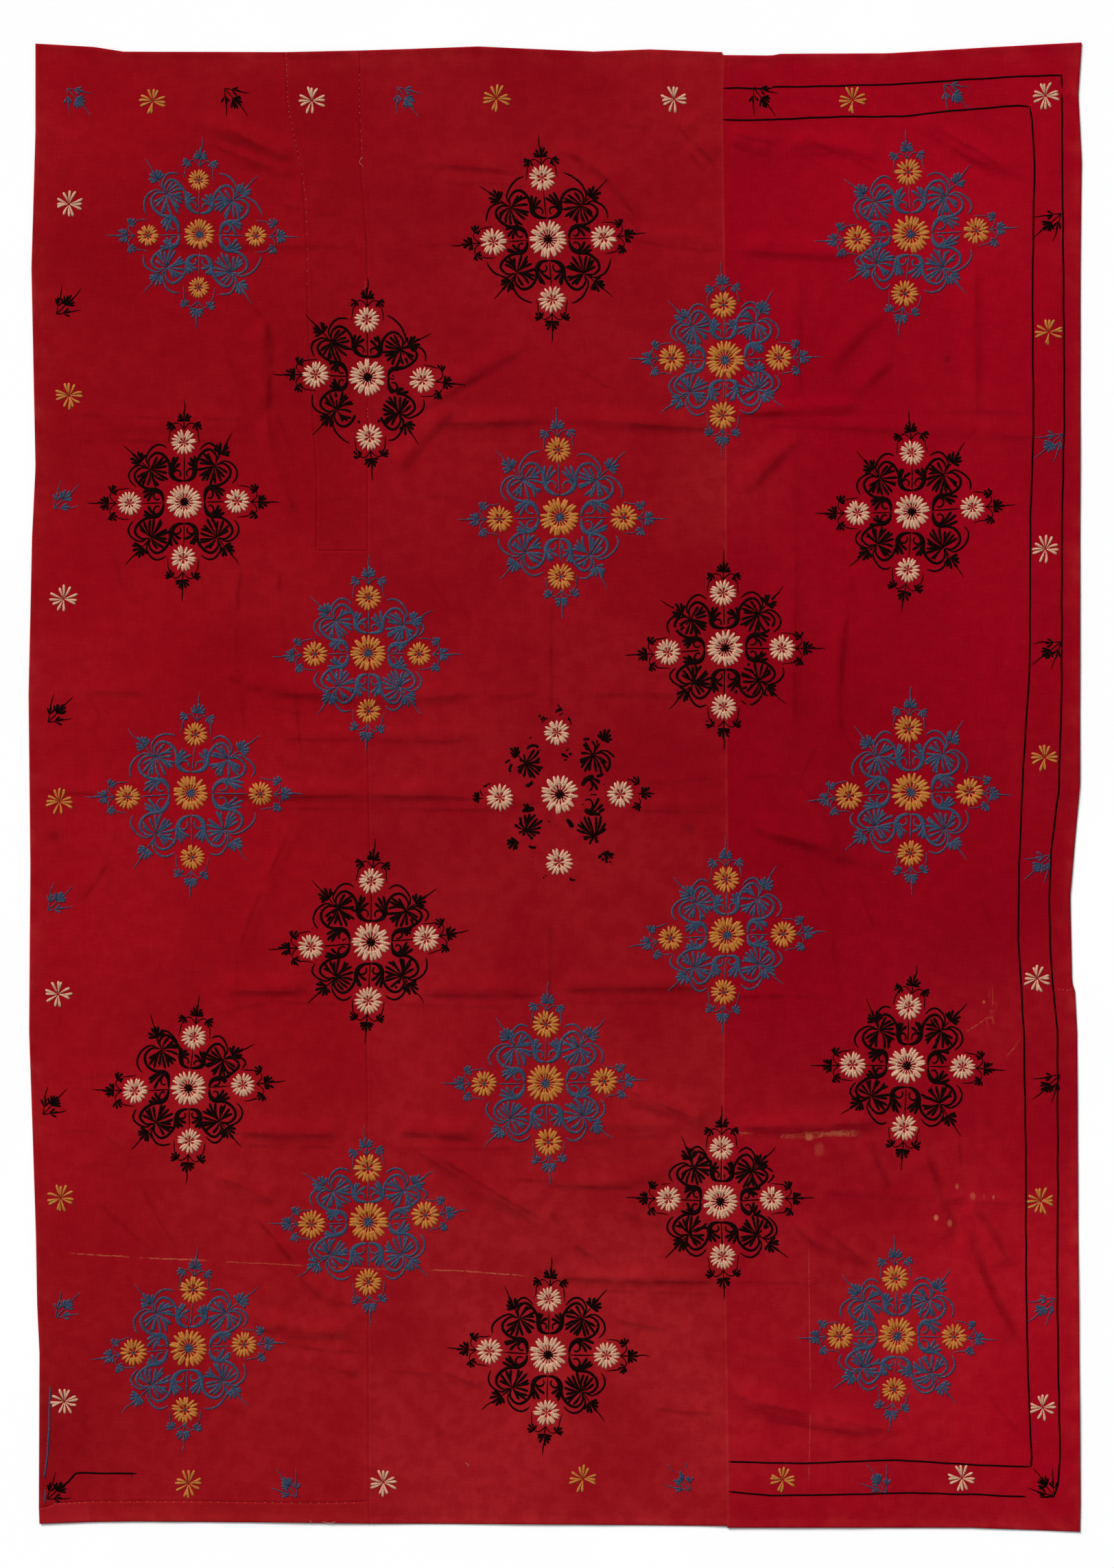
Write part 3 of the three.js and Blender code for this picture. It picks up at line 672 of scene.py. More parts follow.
def spotting(spots, x, y):
    """Where each point lies from the nearest worn spot, in the spot's half sizes, and how worn it is."""
    over, up, depth = np.full(x.shape, NO_SPOT), np.full(x.shape, NO_SPOT), np.zeros(x.shape)
    nearest = np.full(x.shape, 3 * SPOT_REACH)
    for px, py, half_width, half_height, worn in spots:
        middle = from_photo(px, py)
        away = np.abs(x + 1j * y - middle)
        near = away < nearest
        nearest[near] = away[near]
        over[near] = (x[near] - middle.real) / half_width
        up[near] = (y[near] - middle.imag) / half_height
        depth[near] = worn * (away[near] < SPOT_REACH)
    return over, up, depth


def paint_marks(made, name, x, y):
    """Stores what the cotton's material shows: fading, painted light and shade in patches, stains, painted
    shade in the creases, and worn places.
    """
    paint(made, "faded", fading(name, x, y))
    paint(made, "light_and_shade", patched(np.full(x.shape, BRIGHTNESS_EVERYWHERE), PAINTED_LIGHT_AND_SHADE, x, y))
    paint(made, "stained", patched(np.zeros(x.shape), STAINS, x, y))
    layers = {f"crease_{{}}_{number}": layer for number, layer in enumerate(SHADED_CREASES)}
    for attribute, layer in (layers | {"worn_{}": WORN_CREASES}).items():
        for part, values in zip(("side", "depth"), creasing(layer, x, y)):
            paint(made, attribute.format(part), values)
    for number, spots in enumerate(WORN_SPOTS):
        for attribute, values in zip(SPOT_ATTRIBUTES, spotting(spots, x, y)):
            paint(made, f"{attribute}_{number}", values)


def cloth_object(name, piece, material):
    """A sewn piece: a thin closed sheet on its solid's folds, with a coarser underside."""
    x, y, cloth = piece_grid(piece)
    top = top_of_cloth(x, y)
    low_x, low_y, low_z = x[::2, ::2], y[::2, ::2], lowest_around(lift(x, y))
    upper = np.stack([x, y, top], axis=-1).reshape(-1, 3)
    lower = np.stack([low_x, low_y, low_z], axis=-1).reshape(-1, 3)
    face = np.arange(x.size).reshape(x.shape)
    under = x.size + np.arange(low_x.size).reshape(low_x.shape)
    coarse = cloth[::2, ::2]
    faces = cell_faces(cloth, face, True) + cell_faces(coarse, under, False)
    faces += wall_faces(coarse, face, under)
    places = np.concatenate([upper, lower])
    made, used = new_object(name, places, faces, material)
    paint_marks(made, name, *places[used].T[:2])
    return made


class Threads:
    """Strokes of one thread, gathered into one mesh that lies on the cloth."""

    def __init__(self, seed):
        self.places, self.stitches, self.faces = [], [], []
        self.count = 0
        self.rng = np.random.default_rng(seed)

    def sew(self, path, widths, rise=THREAD_RISE, shoulder=SHOULDER, unevenness=UNEVENNESS):
        """Adds a stroke along a path: a low rounded ridge of those widths, closed at its ends."""
        along = np.gradient(path)
        aside = 1j * along / np.abs(along)
        blunt = np.ones(len(path))
        blunt[[0, -1]] = END_WIDTH
        half = np.asarray(widths) / 2 * FULLNESS * blunt
        offsets = np.outer(half, [-1, -shoulder, shoulder, 1])
        section = path[:, None] + aside[:, None] * offsets
        crest = rise * self.rng.uniform(1 - unevenness, 1 + unevenness)
        crest = crest * np.minimum(1, half / FULL_HALF_WIDTH) * np.where(blunt < 1, END_RISE, 1)
        sunk = np.full(len(path), -THREAD_SINK)
        heights = np.stack([sunk, crest, crest, sunk], axis=1)
        gone = np.broadcast_to(length_along(path)[:, None], offsets.shape)
        stitch = np.stack([gone, offsets, np.full(offsets.shape, self.rng.uniform())], axis=-1)
        self.places.append(np.stack([section.real, section.imag, heights], axis=-1).reshape(-1, 3))
        self.stitches.append(stitch.reshape(-1, 3))
        self.faces += self.tube(len(path))
        self.count += 4 * len(path)

    def sew_flower(self, strokes):
        """Sews a flower's petals, flatter and more even than a scroll."""
        for path, widths in strokes:
            self.sew(path, widths, FLOWER_RISE, FLOWER_SHOULDER, FLOWER_UNEVENNESS)

    def tube(self, sections):
        """Faces round a stroke of that many four-point sections, and its two end caps."""
        first = self.count
        step = first + 4 * np.arange(sections - 1)[:, None]
        side = np.arange(4)[None, :]
        following = (side + 1) % 4
        quads = np.stack([step + side, step + 4 + side, step + 4 + following, step + following], axis=-1)
        last = first + 4 * (sections - 1)
        return quads.reshape(-1, 4).tolist() + [
            [first, first + 1, first + 2, first + 3], [last + 3, last + 2, last + 1, last],
        ]

    def made(self, name, material):
        """The mesh object of all the strokes."""
        places = np.concatenate(self.places)
        places[:, 2] += top_of_cloth(places[:, 0], places[:, 1])
        made, used = new_object(name, places, self.faces, material)
        layer = made.data.attributes.new("stitch", "FLOAT_VECTOR", "POINT")
        layer.data.foreach_set("vector", np.concatenate(self.stitches)[used].astype(np.float32).ravel())
        return made


def drawn(points, widths, step=STEP):
    """A smooth path through the points, in steps of about that length, and its widths."""
    points = np.asarray(points, complex)
    gone = length_along(points)
    slopes = np.gradient(points, gone) if len(points) > 2 else np.full(2, points[1] - points[0]) / gone[-1]
    at = np.linspace(0, gone[-1], max(3, round(gone[-1] / step) + 1))
    i = np.clip(np.searchsorted(gone, at, "right") - 1, 0, len(points) - 2)
    span = gone[i + 1] - gone[i]
    t = (at - gone[i]) / span
    path = (
        (1 + 2 * t) * (1 - t) ** 2 * points[i] + t * (1 - t) ** 2 * span * slopes[i]
        + t * t * (3 - 2 * t) * points[i + 1] + t * t * (t - 1) * span * slopes[i + 1]
    )
    widths = np.broadcast_to(widths, len(points)) if np.ndim(widths) == 0 else widths
    return path, np.interp(at, gone, widths)


# A leaflet's widths, as shares of its greatest one, at shares of its length
LEAF_SHARES = np.array([0, 0.3, 0.55, 0.75, 0.92, 1])
LEAF_WIDTHS = np.array([0.32, 0.52, 0.86, 1, 0.86, 0.52])


def leaf(root, tip, width, bend=0.0):
    """A leaflet, narrow at its root and rounded at its tip."""
    path = root + (tip - root) * (LEAF_SHARES + 1j * bend * arched(LEAF_SHARES))
    return path, width * LEAF_WIDTHS


def scroll(rows, step=STEP):
    """A smooth stroke from a table with columns x, y and width."""
    x, y, width = np.array(rows, float).T
    return drawn(x + 1j * y, width, step)


# An eighth of a medallion, left of the axis that points up: its scrolls, x, y and width
ARM = [
    (0, 37, 3), (-10, 38, 5.5), (-19, 43.5, 8.6), (-23, 52, 9), (-24, 61, 6.4), (-27, 71, 5.2),
    (-33, 80, 5.2), (-41, 86, 5.2), (-50, 87, 4.8), (-57, 82, 4.4), (-62, 73, 3.8), (-60, 61, 3.2),
]
ARC = [
    (-28, 86, 1.6), (-34, 94, 3), (-44, 99, 3.6), (-54, 96, 3.8), (-62, 88, 3.6), (-66, 77, 3),
    (-63, 67, 2.4),
]
FLARED_ARC = [  # the same when its end stands away from the arm
    (-35, 114, 1.8), (-43, 110.5, 3), (-51, 105, 3.5), (-59, 97, 3.7), (-64, 87, 3.4), (-67, 77, 3),
    (-64, 67, 2.4),
]
HOOK = [(-21, 46, 5), (-19, 53, 4.6), (-12.5, 56, 3.8), (-7, 53, 3.2), (-5.5, 47.5, 2.8), (-8, 43.5, 2.4)]
COMB_ROOT = -22.5 + 52j
COMB_TIPS = [-18.5 + 78j, -11 + 76j, -4.5 + 68j]
COMB_LEAF = 5.6  # greatest widths of leaflets
FAN_LEAF = 5.3
FAN_BEND = 0.06  # how much a fan's leaflets curve, as a share of their length
BUD_LEAF = 5.2
TIP_LEAF = 4.6
SIDE_LEAF = 4.2
COMB_BEND = 0.05
HOOK_STEP = 3.0
TIP_JITTER = 1.5
WAY_JITTER = 3  # degrees
FLARE_JITTER = 0.15
LEAN_JITTER = 0.05  # radians by which a satellite or a border motif is turned

# Three fans of leaflets grow from one root in each quarter: angles from the way to the medallion's
# middle, in degrees, and lengths, which vary by the shares in FAN_LENGTHS
FAN_ROOT = 59 * (1 + 1j)
FANS = [
    (-30, 35), (-15, 36), (1, 34), (16, 35), (31, 34),
    (52, 31), (69, 33), (86, 31), (103, 27), (-52, 31), (-69, 33), (-86, 31), (-103, 27),
]
FAN_WAY = 45  # degrees from the x axis to the quarter's diagonal
FAN_LENGTHS = (0.88, 1.05)
BUD_ANGLES = [0, 24, -24, 47, -47, 72, -72]
TIP_ANGLES = [0, 27, -27, 52, -52, 78, -78]
SIDE_ANGLES = [-57, -30, 0, 32, 66]
BUD_LENGTHS = (0.9, 1.08)
SHORTER_ASIDE = 0.0048  # share of its length that a bud's leaflet lacks for each degree off the heading

# A thin straight point: its widths as shares of its greatest one, its bend and its steps
SPIKE_WIDTH = 2.2
SPIKE_WIDTHS = np.array([1, 0.9, 0.5])
SPIKE_BEND = 0.04
SPIKE_STEP = 5

# What grows beyond a satellite, from its middle with its way out up: stems, buds and spikes. Buds and
# spikes have their base, their way in degrees unless it is straight up, and their length.
SIDE_STEM = [23j, -6 + 31j, -13 + 34.5j, -20 + 32j]
SIDE_STEM_STEP = 3.5
SIDE_BUD = (-19 + 33j, 222, 15)
SIDE_SPIKE = (-24 + 24j, 262, 26)
SIDE_SPIKE_WIDTH = 2
TIP_STEM = [22j, 30j, 38j]
TIP_BUD = (37j, 20)
TIP_SPIKE = (50j, 26)

# What points out along a diagonal: how far before the bud's middle its leaflets start, how far beyond
# it the spike does, how long they are, and how far the stem bows to the left
CORNER_BUD = (9, 23)
CORNER_SPIKE = (8, 28)
CORNER_STEM_BOW = 1j

TURNS = np.array([1, -1j, -1, 1j])  # of the four quarters and satellites, from the upper one clockwise
SATELLITE_REACH = 103  # standard distances from a medallion's middle
BUD_REACH = 79.5
ROOT_FOLLOWS = 0.5  # how much of a bud's shift its fans' root takes
PULL_SOFTNESS = 12  # distance within which a part's pull levels off
STEM = 2.2
THIN_STEM = 1.8
ROSETTE_SHARE = 0.68  # a satellite's radius as a share of the middle rosette's
SATELLITE_SIZES = (0.96, 1.04)
SATELLITE_MARGIN = 1  # added to a satellite's radius
STEM_MARGIN = 3  # between the middle rosette and the stem of a satellite
LONG_STEP = 12  # of that stem

# A petal's share of its rosette's radius, and its width as a share of the room that it has there
PETAL = [
    (0.46, 1.0), (0.56, 1.08), (0.66, 1.0), (0.76, 0.84), (0.85, 0.64), (0.93, 0.48), (1.0, 0.3),
]
SPOKE = [(0.18, 0.4), (0.3, 0.42), (0.43, 0.46), (0.53, 0.7), (0.6, 1.15), (0.66, 1.2)]
SMALL_PETAL = [(0.36, 0.9), (0.48, 1.04), (0.62, 0.92), (0.74, 0.74), (0.85, 0.56), (1.0, 0.3)]
SMALL_SPOKE = [(0.06, 0.5), (0.18, 0.36), (0.3, 0.4), (0.38, 0.6), (0.47, 1.1), (0.54, 1.2)]
# A flower's rings: the fewest and most strokes, and the rows that shape them
ROSETTE = [((15, 17), SPOKE), ((23, 25), PETAL)]
SATELLITE = [((6, 7), SMALL_SPOKE), ((17, 18), SMALL_PETAL)]
PETAL_JITTER = 0.08  # share of the room between petals by which one may stand aside
PETAL_SIZES = (0.95, 1.04)
PETAL_BEND = 0.072

# Stars of dark thread in the flowers' middles: the fewest and most rays, and their width
SMALL_STAR, SMALL_STAR_RADIUS = ((5, 6), 1.9), 3.1
MIDDLE_STAR, MIDDLE_STAR_SHARE = ((8, 10), 3.8), 0.27
RAY_JITTER = 0.15
RAY_LENGTHS = (0.85, 1.1)
STAR_MIDDLE = (0.4, 0.9)  # half length and width of its full middle, as shares of its radius


def turned(strokes, turn, mirrored=False, place=0j):
    """The same strokes turned about the origin, mirrored first where asked, and moved to a place."""
    flip = (lambda path: -np.conj(path)) if mirrored else (lambda path: path)
    return [(flip(path) * turn + place, widths) for path, widths in strokes]


def jittered(tips, rng):
    """The places, each moved a little at random."""
    return [tip + complex(*rng.normal(0, TIP_JITTER, 2)) for tip in tips]


def between(bounds, rng):
    """A whole number from the first bound to the last."""
    return int(rng.integers(bounds[0], bounds[1] + 1))


def octant(flare, rng):
    """An eighth of a medallion's scrolls and leaflets."""
    flare = np.clip(flare + rng.normal(0, FLARE_JITTER), 0, 1)
    arc = np.array(FLARED_ARC) * flare + np.array(ARC) * (1 - flare)
    strokes = [scroll(ARM), scroll(arc), scroll(HOOK, HOOK_STEP)]
    strokes += [leaf(COMB_ROOT, tip, COMB_LEAF, COMB_BEND) for tip in jittered(COMB_TIPS, rng)]
    return strokes


def fans(rng):
    """The fans of the quarter at the upper right."""
    strokes = []
    for angle, length in FANS:
        way = -way_at(FAN_WAY + angle + rng.normal(0, WAY_JITTER))
        tip = FAN_ROOT + way * length * rng.uniform(*FAN_LENGTHS)
        strokes.append(leaf(FAN_ROOT, tip, FAN_LEAF, rng.normal(0, FAN_BEND)))
    return strokes


def bud(base, heading, rng, leaflets, length, width):
    """Leaflets that spread from a base, at angles in degrees from its heading."""
    strokes = []
    for angle in leaflets:
        reach = length * rng.uniform(*BUD_LENGTHS) * (1 - SHORTER_ASIDE * abs(angle))
        way = heading * way_at(angle + rng.normal(0, WAY_JITTER))
        strokes.append(leaf(base, base + way * reach, width))
    return strokes


def spike(base, heading, length, rng, width=SPIKE_WIDTH):
    """A thin straight point, a little bent."""
    middle = base + heading * length * (0.5 + 1j * rng.normal(0, SPIKE_BEND))
    return drawn([base, middle, base + heading * length], width * SPIKE_WIDTHS, SPIKE_STEP)


def satellite_sprigs(rng):
    """What grows beyond a satellite, with the satellite's middle at the origin and its way out up."""
    strokes = []
    for mirrored in (False, True):
        side = [drawn(SIDE_STEM, THIN_STEM, SIDE_STEM_STEP)]
        base, angle, length = SIDE_BUD
        side += bud(base, way_at(angle), rng, SIDE_ANGLES, length, SIDE_LEAF)
        base, angle, length = SIDE_SPIKE
        side.append(spike(base, way_at(angle), length, rng, SIDE_SPIKE_WIDTH))
        strokes += turned(side, 1, mirrored)
    strokes.append(drawn(TIP_STEM, STEM))
    base, length = TIP_BUD
    strokes += bud(base, 1j, rng, TIP_ANGLES, length, TIP_LEAF)
    base, length = TIP_SPIKE
    strokes.append(spike(base, 1j, length, rng))
    return strokes


def corner_sprig(root, middle, rng):
    """The stem, bud and spike that point out along a medallion's diagonal."""
    heading = (middle - root) / abs(middle - root)
    before, length = CORNER_BUD
    base = middle - heading * before
    strokes = [drawn([root, (root + base) / 2 + heading * CORNER_STEM_BOW, base], STEM)]
    strokes += bud(base, heading, rng, BUD_ANGLES, length, BUD_LEAF)
    beyond, length = CORNER_SPIKE
    strokes.append(spike(middle + heading * beyond, heading, length, rng))
    return strokes


def petals(radius, count, rows, rng):
    """A ring of petals round the origin."""
    strokes = []
    shares, room = np.array(rows).T
    for k in range(count):
        angle = (k + rng.uniform(-PETAL_JITTER, PETAL_JITTER)) * 2 * math.pi / count
        reach = radius * rng.uniform(*PETAL_SIZES)
        widths = room * (shares * radius * 2 * math.pi / count)
        bend = rng.normal(0, PETAL_BEND)
        path = reach * shares * np.exp(1j * (angle + bend * shares))
        strokes.append((path, widths * rng.uniform(*PETAL_SIZES)))
    return strokes


def star(radius, rays, rng):
    """A small star of blunt rays with a full middle."""
    bounds, width = rays
    count = between(bounds, rng)
    turn = rng.uniform(0, 2 * math.pi)
    strokes = []
    for k in range(count):
        way = np.exp(1j * (turn + 2 * math.pi * (k + rng.uniform(-RAY_JITTER, RAY_JITTER)) / count))
        strokes.append(leaf(0j, way * radius * rng.uniform(*RAY_LENGTHS), width))
    length, width = STAR_MIDDLE
    bar = np.linspace(-radius, radius, 4) * length + 0j
    return strokes + [(bar, np.full(len(bar), radius * width))]


def flower(radius, rings, rng):
    """A flower: spokes with slots between them round its middle, and a ring of petals."""
    strokes = []
    for bounds, rows in rings:
        strokes += petals(radius, between(bounds, rng), rows, rng)
    return strokes


# Medallions: the middle's pixel, the dark thread and the middle rosette's radius in pixels. Then how
# far right and up of the middle, in pixels, lie the satellites above, right, below and left of it, and
# the diagonal buds at its upper right, lower right, lower left and upper left.
MEDALLIONS = [
    (291, 342, "blue", 22.5, (-1+79j, 82.5-2.5j, -1-77.5j, -75-1.5j),
     (64.5+65j, 61-77j, -62.5-64.5j, -64+85.5j)),
    (799, 349, "black", 27.7, (-8.5+89j, 81+2j, 6-88j, -79.5-4j),
     (66+66.5j, 72.5-66j, -60-65j, -76.5+61.5j)),
    (1328, 342, "blue", 28, (-4+90.5j, 95+5j, -9-86.5j, -78-7.5j),
     (69+79j, 61-64.5j, -69-53.5j, -74+63j)),
    (536, 550, "black", 27, (-1+83.5j, 80-4.5j, 3-87.5j, -75.5+3.5j),
     (66+50j, 58.5-73.5j, -60.5-62.5j, -70+70.5j)),
    (1057, 525, "blue", 28, (-2+80j, 78.5+3j, -3.5-81j, -77.5+2j),
     (56+76.5j, 62.5-52.5j, -70.5-61j, -64+65.5j)),
    (269, 732, "black", 25.5, (-0.5+87j, 77+1.5j, -1.5-82j, -80-2j),
     (56+76.5j, 62-69.5j, -66.5-70j, -68+64j)),
    (816, 754, "blue", 28.5, (-2+98j, 93.5-1j, 1.5-86.5j, -87.5-3j),
     (76+75.5j, 56-78.5j, -68-69.5j, -74+76.5j)),
    (1329, 746, "black", 26, (0.5+85.5j, 88.5+6j, -5.5-85j, -79-2j),
     (62+77.5j, 59.5-72j, -69-61j, -61.5+66.5j)),
    (537, 952, "blue", 26, (0.5+80.5j, 74-1.5j, 0.5-84.5j, -77.5-1.5j),
     (69.5+50j, 60-67j, -57.5-66j, -64+63j)),
    (1057, 945, "black", 27, (-3+80.5j, 83+0j, -2-85.5j, -83-6j),
     (65+69j, 66-61j, -61.5-66j, -69+55j)),
    (278, 1156, "blue", 26, (7+85.5j, 102-1j, 2.5-93.5j, -91.5-6j),
     (77+66.5j, 66-75j, -67.5-86j, -70.5+72.5j)),
    (816, 1158, "black", 28, (-4+90j, 88.5+0.5j, -1-98.5j, -87-4.5j),
     (66+85.5j, 69-90j, -68-72j, -66.5+62.5j)),
    (1328, 1155, "blue", 28.5, (-3.5+92.5j, 85+0.5j, -1-88.5j, -90.5-5.5j),
     (61+80j, 64.5-76j, -74-66j, -65+74j)),
    (541, 1373, "black", 28, (0.5+88.5j, 80+5.5j, -4-85.5j, -87.5-7j),
     (71+60.5j, 58.5-66j, -70.5-68.5j, -66.5+69j)),
    (1060, 1363, "blue", 27, (-1.5+81j, 82+1.5j, -5-83j, -82.5-4.5j),
     (57+75j, 60-53.5j, -65-62j, -59+63j)),
    (275, 1586, "black", 26, (8+74.5j, 79.5+4.5j, 1.5-77j, -78-4j),
     (69.5+51.5j, 58.5-63.5j, -64-67.5j, -47.5+81.5j)),
    (795, 1579, "blue", 28, (1+86j, 86+3j, 4.5-85.5j, -89-0.5j),
     (67.5+73j, 76-63.5j, -69-71j, -56.5+71.5j)),
    (1322, 1553, "black", 27, (3+85.5j, 81-2j, -4-90.5j, -79+1j),
     (67.5+70.5j, 62.5-78.5j, -72.5-56j, -48+71.5j)),
    (537, 1781, "blue", 29, (-0.5+78.5j, 83.5+10j, 0-87.5j, -82.5-3.5j),
     (72+59j, 66-61j, -79-63.5j, -71.5+56.5j)),
    (1050, 1751, "black", 26, (2+78j, 75+4j, 3.5-80j, -75.5+4j),
     (59.5+59j, 76-64.5j, -60-61j, -46.5+69j)),
    (275, 1965, "blue", 27.5, (7+85.5j, 81+5.5j, -5-89.5j, -80-6j),
     (78.5+71.5j, 67.5-63.5j, -76.5-74.5j, -60.5+70.5j)),
    (799, 1974, "black", 27.5, (1.5+80.5j, 85.5-1j, -2-84.5j, -85.5+5j),
     (67.5+74j, 64.5-74.5j, -74-63.5j, -51.5+74j)),
    (1308, 1947, "blue", 27.5, (-2.5+84j, 83-1j, -4.5-78j, -84-0.5j),
     (61+74j, 67.5-76j, -70.5-60j, -61.5+67.5j)),
]
FLOWER_THREAD = {"blue": "yellow", "black": "cream"}

# How far the outer arcs' ends stand away from the arms, from 0 to 1, by the medallion's middle pixel
FLARE = {(799, 349): 1.0, (536, 550): 0.8, (291, 342): 0.9}
USUAL_FLARE = 0.3

# Wear: share of the dark thread lost, by the medallion's middle pixel
WEAR = {(536, 550): 0.05, (1057, 945): 0.12, (541, 1373): 0.05, (1050, 1751): 0.1, (816, 1158): 0.9}
WEAR_GRAIN = 13  # wave length of the wear
MOST_WORN = 0.5  # wear from which only the surviving places are left
# Elsewhere thread is left where the noise is over WEAR_SLOPE times the wear, less WEAR_START
WEAR_SLOPE, WEAR_START = 2.2, 1.4
RAGGEDNESS = 4.5  # how far a surviving place's edge swings
# Where thread survives on the most worn medallion: right and up of its middle, and radius
SURVIVING = [
    (64, 65, 31), (79, 103, 15), (91, 83, 7), (46, 98, 8), (55, 20, 15), (79, 27, 6), (58, -16, 18),
    (55, -55, 28), (58, -73, 14), (83, -108, 12), (76, -25, 7), (-53, 50, 24), (-80, 75, 11),
    (-47, 86, 14), (-89, 50, 10), (-50, 14, 8), (-53, -52, 24), (-56, -22, 10), (-82, -86, 12),
    (-47, -97, 10), (10, 71, 9), (-12, -49, 7), (19, -49, 9), (-143, -4, 11), (-123, 17, 7),
    (-123, -20, 7), (130, 23, 13), (151, 5, 15), (136, -16, 13), (0, 147, 7), (-29, 131, 7),
    (15, 129, 9), (-26, -145, 4), (21, -147, 4), (-11, -166, 4), (0, 0, 14),
]
# Places where dark thread is missing, in the photograph's pixels with a radius in pixels
LOST_PLACES = [
    (637, 545, 6), (637, 563, 6), (590, 551, 14), (537, 598, 20), (958, 946, 8), (633, 1366, 5),
    (633, 1379, 5), (985, 2150, 5), (1001, 2146, 5),
]


def survives(place, wear, middle):
    """Whether dark thread is still there."""
    x, y = place.real, place.imag
    left = np.ones(place.shape, bool)
    if wear >= MOST_WORN:
        reach = np.min([np.abs(place - middle - complex(u, v)) - r for u, v, r in SURVIVING], axis=0)
        left = reach + RAGGEDNESS * waves(x, y, WEAR_GRAIN, SURVIVING_SEED) < 0
    elif wear:
        left = waves(x, y, WEAR_GRAIN, WEAR_SEED) > WEAR_SLOPE * wear - WEAR_START
    for px, py, radius in LOST_PLACES:
        left &= np.abs(place - from_photo(px, py)) > radius * PIXEL
    return left


def finely(path, widths):
    """The same stroke in short steps."""
    gone = length_along(path)
    at = np.linspace(0, gone[-1], max(3, round(gone[-1] / FINE_STEP) + 1))
    return np.interp(at, gone, path.real) + 1j * np.interp(at, gone, path.imag), np.interp(at, gone, widths)


def sew_dark(threads, strokes, wear=0.0, middle=0j):
    """Sews strokes, without the stretches where the thread is gone."""
    for path, widths in strokes:
        if not wear and np.all(survives(path, wear, middle)):
            threads.sew(path, widths)
            continue
        path, widths = finely(path, widths)
        left = np.concatenate([[False], survives(path, wear, middle), [False]])
        starts = np.flatnonzero(~left[:-1] & left[1:])
        ends = np.flatnonzero(left[:-1] & ~left[1:])
        for start, end in zip(starts, ends):
            if end - start >= 2:
                threads.sew(path[start:end], widths[start:end])


def pulled(path, standards, targets):
    """A path pulled from the standard medallion towards the places that this one's parts have."""
    near = 1 / (np.abs(path[..., None] - standards) ** 2 + PULL_SOFTNESS**2) ** 2
    middle = 1 / (np.abs(path) ** 2 + PULL_SOFTNESS**2) ** 2
    return path + (near * (targets - standards)).sum(-1) / (near.sum(-1) + middle)


def quarters(flare, rng):
    """The scrolls and fans of a standard medallion's four quarters."""
    strokes = []
    for turn in TURNS:
        for mirrored in (False, True):
            strokes += turned(octant(flare, rng), turn, mirrored)
        strokes += turned(fans(rng), turn)
    return strokes


def medallion(row, threads_on, rng):
    """Sews one medallion."""
    px, py, dark, rosette_px, satellites, buds = row
    middle, radius = from_photo(px, py), rosette_px * PIXEL
    wear = WEAR.get((px, py), 0.0)
    satellites, buds = np.array(satellites) * PIXEL, np.array(buds) * PIXEL
    roots = FAN_ROOT * TURNS
    standards = np.concatenate([1j * SATELLITE_REACH * TURNS, roots])
    shifted = roots + ROOT_FOLLOWS * (buds - BUD_REACH * (1 + 1j) * TURNS)
    targets = np.concatenate([satellites, shifted])
    panel = panel_at(middle)
    dark_thread, flower_thread = threads_on(dark, panel), threads_on(FLOWER_THREAD[dark], panel)
    strokes = quarters(FLARE.get((px, py), USUAL_FLARE), rng)
    strokes = [(pulled(path, standards, targets), widths) for path, widths in strokes]
    for satellite, root, bud_place in zip(satellites, shifted, buds):
        heading = satellite / abs(satellite)
        lean = heading / 1j * np.exp(1j * rng.normal(0, LEAN_JITTER))
        strokes += turned(satellite_sprigs(rng), lean, place=satellite)
        stem = [heading * (radius + STEM_MARGIN), satellite - heading * radius * ROSETTE_SHARE]
        strokes.append(drawn(stem, STEM, LONG_STEP))
        strokes += corner_sprig(root, bud_place, rng)
        small = radius * ROSETTE_SHARE * rng.uniform(*SATELLITE_SIZES) + SATELLITE_MARGIN
        flower_thread.sew_flower(turned(flower(small, SATELLITE, rng), lean, place=satellite + middle))
        if dark == "blue":
            strokes += turned(star(SMALL_STAR_RADIUS, SMALL_STAR, rng), 1, place=satellite)
    sew_dark(dark_thread, turned(strokes, 1, place=middle), wear, middle)
    flower_thread.sew_flower(turned(flower(radius, ROSETTE, rng), 1, place=middle))
    for path, widths in turned(star(radius * MIDDLE_STAR_SHARE, MIDDLE_STAR, rng), 1, place=middle):
        dark_thread.sew(path, widths)


